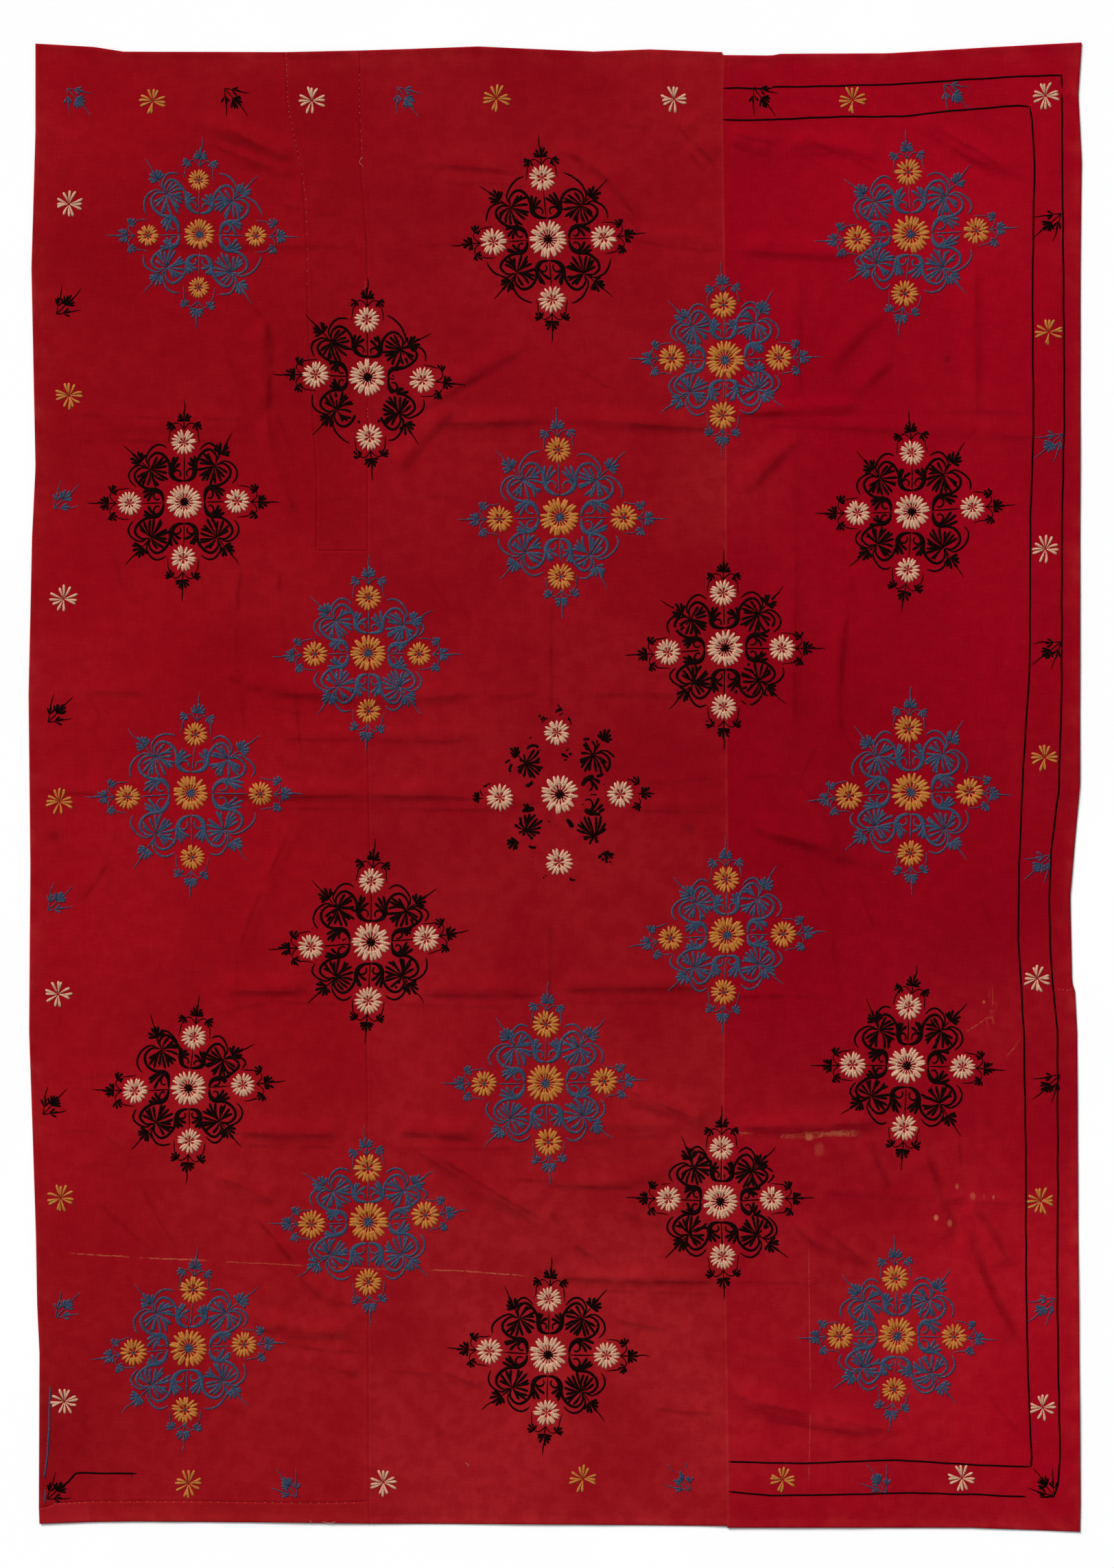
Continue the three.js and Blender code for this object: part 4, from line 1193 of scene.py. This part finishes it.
# Border motifs: pixels of the photograph. Flowers are yellow or cream, sprigs blue or black.
BORDER = {
    "top": [
        (111, 146, "blue"), (223, 148, "yellow"), (340, 146, "black"), (455, 147, "cream"),
        (591, 145, "blue"), (724, 144, "yellow"), (983, 145, "cream"), (1110, 145, "black"),
        (1243, 146, "yellow"), (1390, 139, "blue"), (1524, 140, "cream"),
    ],
    "right": [
        (1527, 326, "black"), (1529, 484, "yellow"), (1529, 647, "blue"), (1524, 800, "cream"),
        (1526, 949, "black"), (1523, 1104, "yellow"), (1513, 1261, "blue"), (1512, 1426, "cream"),
        (1525, 1581, "black"), (1517, 1750, "yellow"), (1517, 1906, "blue"), (1520, 2051, "cream"),
    ],
    "bottom": [
        (1523, 2161, "black"), (1402, 2154, "cream"), (1280, 2156, "blue"), (1141, 2156, "yellow"),
        (992, 2154, "blue"), (850, 2155, "yellow"), (559, 2160, "cream"), (420, 2162, "blue"),
        (275, 2162, "yellow"),
    ],
    "left": [
        (101, 298, "cream"), (98, 440, "black"), (101, 577, "yellow"), (95, 724, "blue"),
        (93, 873, "cream"), (86, 1035, "black"), (87, 1168, "yellow"), (86, 1309, "blue"),
        (85, 1449, "cream"), (78, 1606, "black"), (89, 1746, "yellow"), (97, 1902, "blue"),
        (94, 2042, "cream"), (86, 2168, "black"),
    ],
}
# A sprig's base and the tips of its middle and side branches, right and up of its own middle, in pixels
SPRIG_SHAPE = {
    "top": (-13+17j, 23-25j, 24+10j, -9-25j),
    "right": (20+15j, -22-22j, -22+9j, 7-27j),
    "bottom": (14-19j, -19+22j, 10+23j, -26-7j),
    "left": (-16-18j, 21+20j, -7+24j, 20-12j),
}
SPRIG_BUD_ANGLES = [8, -9, 25, -26, 44, -45, 66]
SPRIG_FORK_ANGLES = [3, 30, -32]
SPRIG_LEAF = 4.0
# Where on a branch its leaflets start, as a share of its length, and how long they are
SPRIG_BUD = (0.34, 21)
SPRIG_FORK = (0.26, 16.5)
SPRIG_STEM_OVERLAP = 2  # how far a branch's stem runs into its bud, and its spike starts in it
SPRIG_SPIKE_START = 4
FLOWER_RADIUS = 24.5
FLOWER_ANGLES = [90, 112, 68, 158, 180, 202, -22, 0, 22, -112, -90, -68]
FLOWER_PETALS = (11, 12)  # the fewest and the most
FLOWER_LENGTHS = (0.86, 1.06)
FLOWER_MIDDLE = 2.0  # radius at which its petals start
FLOWER_LEAF = 4.6
FLOWER_BEND = 0.04


def border_sprig(side, rng):
    """A sprig of three branches from one base: the middle one has the fullest bud."""
    base, middle, *sides = (place * PIXEL for place in SPRIG_SHAPE[side])
    branches = [(middle, SPRIG_BUD_ANGLES, SPRIG_BUD)]
    branches += [(tip, SPRIG_FORK_ANGLES, SPRIG_FORK) for tip in sides]
    strokes = []
    for tip, angles, (node_share, length) in branches:
        heading = (tip - base) / abs(tip - base)
        node = base + (tip - base) * node_share
        strokes.append(drawn([base, node + heading * SPRIG_STEM_OVERLAP], THIN_STEM))
        strokes += bud(node, heading, rng, angles, length, SPRIG_LEAF)
        start, rest = node + heading * SPRIG_SPIKE_START, abs(tip - node) - SPRIG_SPIKE_START
        strokes.append(spike(start, heading, rest, rng))
    return strokes


def border_flower(rng):
    """A small flower: four groups of petals with diagonal gaps between them."""
    strokes = []
    for angle in FLOWER_ANGLES[:between(FLOWER_PETALS, rng)]:
        way = way_at(angle + rng.normal(0, WAY_JITTER))
        reach = FLOWER_RADIUS * rng.uniform(*FLOWER_LENGTHS)
        strokes.append(leaf(way * FLOWER_MIDDLE, way * reach, FLOWER_LEAF, rng.normal(0, FLOWER_BEND)))
    return strokes


def sew_border(threads_on, rng):
    """Sews the flowers and sprigs along the four edges."""
    for side, rows in BORDER.items():
        for px, py, colour in rows:
            place = from_photo(px, py)
            turn = np.exp(1j * rng.normal(0, LEAN_JITTER))
            thread = threads_on(colour, panel_at(place))
            if colour in FLOWER_THREAD:
                sew_dark(thread, turned(border_sprig(side, rng), turn, place=place))
            else:
                thread.sew_flower(turned(border_flower(rng), turn, place=place))


# Border lines: pixels of the photograph that each chain-stitched line runs through
BLACK_LINES = [
    [(1053, 129), (1125, 129)],
    [(1124, 129), (1127, 127), (1200, 126), (1304, 123), (1382, 118), (1496, 111), (1547, 110),
     (1548, 129)],
    [(1548, 136), (1548, 207), (1550, 414), (1551, 621), (1548, 760), (1547, 1019), (1543, 1154),
     (1532, 1242), (1529, 1309), (1530, 1370), (1534, 1431), (1541, 1500), (1542, 1727), (1541, 1882),
     (1542, 1986), (1545, 2123), (1542, 2163), (1536, 2180), (1515, 2181)],
    [(1496, 2181), (1433, 2178), (1330, 2175), (1252, 2177), (1123, 2179), (1061, 2173)],
    [(1053, 175), (1128, 175), (1135, 174), (1226, 170), (1314, 170), (1382, 162), (1485, 154),
     (1501, 156)],
    [(1501, 156), (1504, 178), (1508, 238), (1505, 414), (1506, 621), (1502, 760), (1501, 967),
     (1491, 1122), (1486, 1252), (1484, 1370), (1488, 1431), (1492, 1500), (1495, 1675), (1496, 1882),
     (1498, 1986), (1503, 2123), (1502, 2137)],
    [(1502, 2137), (1433, 2135), (1351, 2130), (1304, 2127), (1174, 2132), (1061, 2130)],
    [(95, 2164), (111, 2146), (201, 2147)],
    [(193, 2147), (193, 2152)],
]
BLUE_LINES = [
    [(71, 2021), (75, 2021)],
    [(73, 2021), (72, 2080), (69.5, 2120), (64, 2156)],
    [(66.5, 2170), (66.5, 2191)],
]
LINE_WIDTH = 3.1
LINE_RISE = 0.9
LINE_STEP = 9
LINE_WOBBLE, WOBBLE_LENGTH = 0.5, 60


def straight(pixels, step):
    """A path of straight stretches through pixels of the photograph, in steps of about that length."""
    corners = np.array([from_photo(*pixel) for pixel in pixels])
    gone = length_along(corners)
    at = np.unique(np.concatenate([gone, np.arange(0, gone[-1], step)]))
    at = at[np.concatenate([[True], np.diff(at) > step * LEAST_STEP])]
    return np.interp(at, gone, corners.real) + 1j * np.interp(at, gone, corners.imag)


def sew_line(thread, pixels):
    """Sews a chain-stitched line through pixels of the photograph, with a hand's slight wobble."""
    path = straight(pixels, LINE_STEP)
    over, up = [waves(path.real, path.imag, WOBBLE_LENGTH, seed) for seed in LINE_SEEDS]
    thread.sew(path + LINE_WOBBLE * (over + 1j * up), np.full(len(path), LINE_WIDTH), LINE_RISE)


# Pale sewing stitches along seams: pixels of the first and last, and the stitches' pitch in pixels
STITCH_ROWS = [
    ((524, 110), (524.5, 164), 9), ((524.5, 164), (529.6, 256), 14), ((532.5, 412), (533, 425), 5),
    ((536, 597), (536, 612), 5), ((417, 79), (419, 134), 8), ((419, 134), (421, 163), 7),
    ((421, 163), (432, 213), 9), ((432, 213), (438, 241), 9), ((438, 241), (446, 290), 12),
    ((446, 290), (448, 361), 18), ((448, 361), (448, 434), 20), ((80, 2191), (131, 2189), 7),
    ((135, 2188), (530, 2190), 13), ((1544, 1442), (1556, 1443), 6), ((1556, 1443), (1565, 1440), 5),
]
LOOSE_THREADS = [
    [(527, 229), (524.5, 238), (528, 241)], [(452, 2215), (455, 2220)],
    [(470, 2217), (481, 2219), (490, 2217)], [(678, 2131), (683, 2135)], [(684, 2133), (682, 2138)],
]
STITCH_LENGTH, STITCH_WIDTH, STITCH_RISE = 2.6, 0.9, 0.7
STITCH_JITTER = 0.15  # share of the pitch
LOOSE_WIDTH, LOOSE_RISE, LOOSE_STEP = 0.8, 0.8, 2


def sew_seams(thread):
    """Sews the stitches that show along the seams, and the loose ends of thread."""
    for first, last, pitch in STITCH_ROWS:
        start, end = from_photo(*first), from_photo(*last)
        count = max(2, round(abs(end - start) / (pitch * PIXEL)))
        heading = (end - start) / abs(end - start) * STITCH_LENGTH / 2
        for k in range(count):
            at = start + (end - start) * (k + thread.rng.uniform(-STITCH_JITTER, STITCH_JITTER)) / count
            path = np.array([at - heading, at, at + heading])
            thread.sew(path, np.full(len(path), STITCH_WIDTH), STITCH_RISE)
    for pixels in LOOSE_THREADS:
        path, widths = drawn([from_photo(*pixel) for pixel in pixels], LOOSE_WIDTH, LOOSE_STEP)
        thread.sew(path, widths, LOOSE_RISE)


def panel_at(place):
    """The panel that a place lies on."""
    if place.real < rail_at(LEFT_SEAM, place.imag):
        return "left"
    return "centre" if place.real < rail_at(RIGHT_SEAM, place.imag) else "right"


# Materials. Colours are linear.
RED = {
    "cotton_left": (0.25, 0.0021, 0.0068), "cotton_insert": (0.243, 0.0023, 0.0068),
    "cotton_centre": (0.245, 0.0022, 0.0075), "cotton_right": (0.252, 0.0012, 0.0078),
    "cotton_strip": (0.268, 0.0046, 0.0078), "cotton_patch": (0.312, 0.0072, 0.0125),
}
FADED_RED = (0.33, 0.02, 0.02)
# BLACK is the colour that the painted shade in the creases darkens the cotton towards
BLACK = (0.0, 0.0, 0.0)
WHITE = (1, 1, 1, 1)
STAIN = (0.07, 0.002, 0.003)
THREAD_COLOURS = {  # the thread and the paler fibres on it
    "blue": ((0.016, 0.041, 0.088), (0.11, 0.14, 0.19)),
    "black": ((0.0048, 0.0010, 0.0008), (0.013, 0.0028, 0.0024)),
    "yellow": ((0.42, 0.132, 0.013), (0.62, 0.26, 0.05)),
    "cream": ((0.54, 0.28, 0.17), (0.8, 0.54, 0.38)),
    "sewing": ((0.42, 0.19, 0.11), (0.58, 0.34, 0.22)),
}
DETAIL, FINE_DETAIL = 2.0, 3.0  # of the noises

# How the cotton's weave and mottling look. Scales are for metres. A mottling has the noise at which it
# begins, the noise at which it is full, and its share then.
WARP, WEFT = (1150, 70, 200), (70, 1150, 200)
BROAD_SCALE, PATCHY_SCALE = 4.5, 38
BROAD_MOTTLE = (0.62, 0.3, 0.6)
PATCHY_MOTTLE = (0.62, 0.38, 0.4)
SLUB_SHADE = (1.0, 0.75, 0.32)
SLUB_LIGHT = (1.05, 1.3, 0.35)
DARKER = 0.8  # share of the red
PALER, PALER_ADDED = 1.25, 0.004
COTTON_ROUGHNESS, COTTON_SHEEN = 0.93, 0.01
WEAVE_RELIEF, WEAVE_STRENGTH = 0.0006, 0.5
PATCHY_RELIEF = 0.8

# Painted shade in the pressed creases: where the dark line ends and is full on the lamp's side, and on the
# other
CREASE_SHADE = 0.13  # share of the light that a crease of depth 1 takes
LIT_SIDE, DARK_SIDE = (3.5, 0.0), (-9.0, -0.5)
CREASE_WOBBLE, CREASE_WOBBLE_SCALE = 3.0, 45
CREASE_GAPS, CREASE_GAPS_SCALE = (0.3, 0.6), 16

# Worn dye: where a line and a spot end and are full, and the noise that breaks the lines
WORN_RED = (0.47, 0.14, 0.065)
WEAR_WOBBLE, WEAR_WOBBLE_SCALE = 1.6, 90
WORN_LINE, WORN_SPOT = (1.9, 0.3), (1.5, 0.1)
WORN_GAPS, WORN_GAPS_SCALE = (0.3, 0.55), 240

# Chain stitch
CHAIN_ROW = 1.5  # width of a row
CHAIN_LINK = 2.6  # length of a link
ROW_OFFSET = 40.5  # puts a row's middle on the stroke's, and keeps its number above nothing
LINK_SLANT, LINK_RELIEF = 0.8, 0.25
SPECKLE_SCALE, SPECKLE = 620, (0.5, 0.66)
PATCH_SCALE, PATCHES = 60, (0.35, 0.65)
SPECKLE_MORE, SPECKLE_LEAST = 0.5, 0.45  # how much speckle the noise adds, and how much there is anyway
THREAD_SHADE = 0.72  # share of its colour where a thread is dark
# A lot's darkening is the thread's own colour; the grooves' darkening is painted shade.
LOT_SHADE, GROOVE_SHADE = 0.6, 0.5  # most shade of a stroke's own lot, and of its grooves
GROOVE = (-0.3, -0.65)
THREAD_RELIEF, THREAD_STRENGTH = 0.0005, 0.8
THREAD_ROUGHNESS = 0.62

# The floor's paper
PAPER = ((0.93, 0.93, 0.93), (0.95, 0.95, 0.95))
PAPER_SCALE, PAPER_ROUGHNESS, PAPER_SHEEN = 3.0, 0.9, 0.1


class Nodes:
    """A material's nodes, wired in a few words."""

    def __init__(self, name):
        self.material = bpy.data.materials.new(name)
        self.material.use_nodes = True
        self.tree = self.material.node_tree
        self.shader = self.tree.nodes["Principled BSDF"]
        self.place = self.add("ShaderNodeTexCoord").outputs["Object"]

    def add(self, kind, inputs=None, **settings):
        """A node with settings, and inputs that are values or other nodes' outputs."""
        node = self.tree.nodes.new(kind)
        for key, value in settings.items():
            setattr(node, key, value)
        for key, value in (inputs or {}).items():
            self.feed(node.inputs[key], value)
        return node

    def feed(self, socket, value):
        """Sets a socket to a value, or links another node's output to it."""
        if isinstance(value, bpy.types.NodeSocket):
            self.tree.links.new(value, socket)
        else:
            socket.default_value = value

    def math(self, operation, first, second=0.0):
        """Two values, each a number or a node's output, put through a sum of that kind."""
        return self.add("ShaderNodeMath", {0: first, 1: second}, operation=operation).outputs[0]

    def plus(self, first, second):
        """The sum of two values."""
        return self.math("ADD", first, second)

    def times(self, first, second):
        """The product of two values."""
        return self.math("MULTIPLY", first, second)

    def attribute(self, name, output="Fac"):
        """A value that the mesh has for each of its points."""
        return self.add("ShaderNodeAttribute", attribute_name=name).outputs[output]

    def noise(self, scale, detail=DETAIL, place=None):
        """Smooth noise from 0 to 1, on the object itself or on a place given."""
        inputs = {"Vector": place or self.place, "Scale": scale, "Detail": detail}
        return self.add("ShaderNodeTexNoise", inputs).outputs["Fac"]

    def stretched(self, scale):
        """Noise that is longer one way than the others."""
        place = self.add("ShaderNodeMapping", {"Vector": self.place, "Scale": scale}).outputs["Vector"]
        return self.noise(1.0, place=place)

    def wobble(self, scale, size):
        """Noise of about that size, above and below nothing."""
        return self.times(self.math("SUBTRACT", self.noise(scale), 0.5), size)

    def mix(self, share, first, second):
        """A mix of two colours, each a colour or a node's output."""
        node = self.add("ShaderNodeMix", data_type="RGBA")
        for socket, value in zip([node.inputs[0], node.inputs[6], node.inputs[7]], [share, first, second]):
            opaque = isinstance(value, tuple) and len(value) == 3
            self.feed(socket, (*value, 1) if opaque else value)
        return node.outputs[2]

    def spread(self, value, low, high):
        """A value from low to high as a share from 0 to 1."""
        names = {"Value": value, "From Min": low, "From Max": high}
        return self.add("ShaderNodeMapRange", names, interpolation_type="SMOOTHSTEP").outputs[0]

    def bump(self, height, distance, strength):
        """Raises the surface's look by a height from 0 to 1, over a distance in metres."""
        node = self.add("ShaderNodeBump", {"Height": height, "Distance": distance, "Strength": strength})
        self.tree.links.new(node.outputs["Normal"], self.shader.inputs["Normal"])

    def finish(self, colour, roughness, specular):
        """The material, with its colour and how it shines."""
        self.tree.links.new(colour, self.shader.inputs["Base Color"])
        self.shader.inputs["Roughness"].default_value = roughness
        self.shader.inputs["Specular IOR Level"].default_value = specular
        return self.material


def crease_shade(nodes):
    """How much painted shade darkens the pressed creases: sharp on the lamp's side, softer on the other."""
    wobble = nodes.wobble(CREASE_WOBBLE_SCALE, CREASE_WOBBLE)
    total = 0.0
    for number in range(CREASE_LAYERS):
        side = nodes.plus(nodes.attribute(f"crease_side_{number}"), wobble)
        mark = nodes.times(nodes.spread(side, *LIT_SIDE), nodes.spread(side, *DARK_SIDE))
        total = nodes.plus(nodes.times(mark, nodes.attribute(f"crease_depth_{number}")), total)
    uneven = nodes.spread(nodes.noise(CREASE_GAPS_SCALE), *CREASE_GAPS)
    return nodes.times(nodes.times(total, CREASE_SHADE), uneven)


def wear_share(nodes):
    """How worn the dye is, along its broken lines and in its spots."""
    wobble = nodes.wobble(WEAR_WOBBLE_SCALE, WEAR_WOBBLE)
    away = nodes.math("ABSOLUTE", nodes.plus(nodes.attribute("worn_side"), wobble))
    line = nodes.times(nodes.spread(away, *WORN_LINE), nodes.attribute("worn_depth"))
    worn = nodes.times(line, nodes.spread(nodes.noise(WORN_GAPS_SCALE), *WORN_GAPS))
    for number in range(len(WORN_SPOTS)):
        over, up, depth = [nodes.attribute(f"{name}_{number}") for name in SPOT_ATTRIBUTES]
        ragged = nodes.plus(nodes.plus(nodes.times(over, over), nodes.times(up, up)), wobble)
        worn = nodes.math("MAXIMUM", worn, nodes.times(nodes.spread(ragged, *WORN_SPOT), depth))
    return worn


def cotton(slot):
    """Plain-woven red cotton: mottled, slubby along both ways of the weave, faded and stained."""
    nodes = Nodes(slot)
    red = RED[slot]
    darker = tuple(DARKER * part for part in red)
    paler = tuple(PALER * part + PALER_ADDED for part in red)
    slubs = nodes.plus(nodes.stretched(WARP), nodes.stretched(WEFT))
    broad, patchy = nodes.noise(BROAD_SCALE, FINE_DETAIL), nodes.noise(PATCHY_SCALE, FINE_DETAIL)
    mottlings = [
        (broad, BROAD_MOTTLE, darker), (patchy, PATCHY_MOTTLE, darker),
        (slubs, SLUB_SHADE, darker), (slubs, SLUB_LIGHT, paler),
    ]
    colour = nodes.mix(nodes.attribute("faded"), red, FADED_RED)
    for value, (begin, full, most), other in mottlings:
        colour = nodes.mix(nodes.times(nodes.spread(value, begin, full), most), colour, other)
    # painted light and shade: the red made brighter and darker in soft patches
    light_and_shade = {0: colour, "Scale": nodes.attribute("light_and_shade")}
    colour = nodes.add("ShaderNodeVectorMath", light_and_shade, operation="SCALE").outputs[0]
    colour = nodes.mix(nodes.attribute("stained"), colour, STAIN)
    colour = nodes.mix(wear_share(nodes), colour, WORN_RED)
    # painted shade: the creases darkened towards black, sharp on the lamp's side
    colour = nodes.mix(crease_shade(nodes), colour, BLACK)
    nodes.bump(nodes.plus(slubs, nodes.times(patchy, PATCHY_RELIEF)), WEAVE_RELIEF, WEAVE_STRENGTH)
    return nodes.finish(colour, COTTON_ROUGHNESS, COTTON_SHEEN)


def thread(colour, specular):
    """Chain-stitched thread: rows of links with painted shade in their grooves, speckled where its surface is
    worn.
    """
    nodes = Nodes("thread_" + colour)
    base, worn = THREAD_COLOURS[colour]
    dark = tuple(THREAD_SHADE * part for part in base)
    parts = nodes.add("ShaderNodeSeparateXYZ", {0: nodes.attribute("stitch", "Vector")}).outputs
    along, across, lot = parts["X"], parts["Y"], parts["Z"]
    row = nodes.math("FRACT", nodes.plus(nodes.math("DIVIDE", across, CHAIN_ROW), ROW_OFFSET))
    ridge = nodes.math("ABSOLUTE", nodes.math("SUBTRACT", row, 0.5))
    slant = nodes.plus(nodes.math("DIVIDE", along, CHAIN_LINK), nodes.times(ridge, LINK_SLANT))
    link = nodes.math("SINE", nodes.times(slant, 2 * math.pi))
    height = nodes.math("SUBTRACT", nodes.times(link, LINK_RELIEF), ridge)
    speckle = nodes.spread(nodes.noise(SPECKLE_SCALE, FINE_DETAIL), *SPECKLE)
    patchy = nodes.spread(nodes.noise(PATCH_SCALE), *PATCHES)
    share = nodes.times(speckle, nodes.plus(nodes.times(patchy, SPECKLE_MORE), SPECKLE_LEAST))
    shown = nodes.mix(nodes.times(lot, LOT_SHADE), base, dark)
    shown = nodes.mix(share, shown, worn)
    # painted shade: the grooves between the chain's rows darkened
    shown = nodes.mix(nodes.times(nodes.spread(height, *GROOVE), GROOVE_SHADE), shown, dark)
    nodes.bump(height, THREAD_RELIEF, THREAD_STRENGTH)
    return nodes.finish(shown, THREAD_ROUGHNESS, specular)


def floor_material():
    """Pale matt paper."""
    nodes = Nodes("floor_paper")
    return nodes.finish(nodes.mix(nodes.noise(PAPER_SCALE), *PAPER), PAPER_ROUGHNESS, PAPER_SHEEN)


# The camera looks straight down on the cloth, and takes in the photograph's frame
LENS = 100
SENSOR = 36


def make_camera():
    """The camera, as far off as its view needs to be as high as the photograph."""
    data = bpy.data.cameras.new("camera")
    data.lens, data.sensor_width = LENS, SENSOR
    middle = from_photo(PHOTO_PX[0] / 2, PHOTO_PX[1] / 2) * MM
    distance = PHOTO_PX[1] * PIXEL * MM * LENS / SENSOR
    camera = bpy.data.objects.new("camera", data)
    camera.location = (middle.real, middle.imag, distance)
    bpy.context.scene.collection.objects.link(camera)
    bpy.context.scene.camera = camera


FLOOR_SIDE = 60
FLOOR_DEPTH = 0.0004
SKY = 0.34
LAMP_POWER = 4.25
LAMP_SPREAD = 24  # degrees
LAMP_TILT, LAMP_TURN = 58, 35  # degrees off the upright, and off the cloth's top towards its left


def make_floor():
    """A pale floor just under the cloth."""
    half = FLOOR_SIDE / 2
    mesh = bpy.data.meshes.new("floor")
    corners = [(-half, -half), (half, -half), (half, half), (-half, half)]
    mesh.from_pydata([(x, y, -FLOOR_DEPTH) for x, y in corners], [], [(0, 1, 2, 3)])
    mesh.materials.append(floor_material())
    floor = bpy.data.objects.new("floor", mesh)
    bpy.context.scene.collection.objects.link(floor)
    return floor


def make_light():
    """A soft lamp at the upper left and a pale sky."""
    lamp = bpy.data.lights.new("lamp", "SUN")
    lamp.energy, lamp.angle = LAMP_POWER, math.radians(LAMP_SPREAD)
    sun = bpy.data.objects.new("lamp", lamp)
    sun.rotation_euler = (math.radians(-LAMP_TILT), 0, math.radians(LAMP_TURN))
    bpy.context.scene.collection.objects.link(sun)
    world = bpy.data.worlds.new("sky")
    world.use_nodes = True
    background = world.node_tree.nodes["Background"].inputs
    background["Strength"].default_value = SKY
    background["Color"].default_value = WHITE
    bpy.context.scene.world = world
    bpy.context.scene.view_settings.view_transform = "Standard"


def outline_area(x, y, cloth):
    """Flat area of a grid's cloth cells."""
    across = (x[1:, 1:] - x[:-1, :-1]) * (y[1:, :-1] - y[:-1, 1:])
    other = (x[1:, :-1] - x[:-1, 1:]) * (y[1:, 1:] - y[:-1, :-1])
    return float(np.abs(across - other)[cloth].sum() / 2) * MM * MM


def declare_sheet(piece):
    """Works out how large a sewn piece was cut, and its flat area, and passes them to nothing."""
    x, y, cloth = piece_grid(piece)
    flat = (float(np.ptp(x)) * MM, float(np.ptp(y)) * MM)
    area = outline_area(x, y, cloth)


SPECULAR = {"blue": 0.12, "black": 0.02, "yellow": 0.25, "cream": 0.25, "sewing": 0.2}
SEED = 7


def sew_everything():
    """All the threads, by colour and panel."""
    threads = {}

    def threads_on(colour, panel):
        """The one mesh of a colour on a panel, begun when it is first asked for."""
        if (colour, panel) not in threads:
            threads[colour, panel] = Threads(len(threads) + SEED)
        return threads[colour, panel]

    for number, row in enumerate(MEDALLIONS):
        medallion(row, threads_on, np.random.default_rng(SEED + number))
    sew_border(threads_on, np.random.default_rng(SEED))
    for pixels in BLACK_LINES:
        sew_line(threads_on("black", panel_at(from_photo(*pixels[0]))), pixels)
    for pixels in BLUE_LINES:
        sew_line(threads_on("blue", "left"), pixels)
    sew_seams(threads_on("sewing", "left"))
    return threads


floor = make_floor()
make_light()
make_camera()

thread_materials = {colour: thread(colour, SPECULAR[colour]) for colour in THREAD_COLOURS}
sewn = {"left": [], "centre": [], "right": []}
for (colour, panel), strokes in sew_everything().items():
    made = strokes.made(f"thread_{colour}_{panel}", thread_materials[colour])
    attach(made, "root")
    sewn[panel].append(made)

for name, piece in PIECES.items():
    made = cloth_object(name, piece, cotton(piece["slot"]))
    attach(made, "root")
    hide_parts(piece["node"])
    declare_sheet(piece)
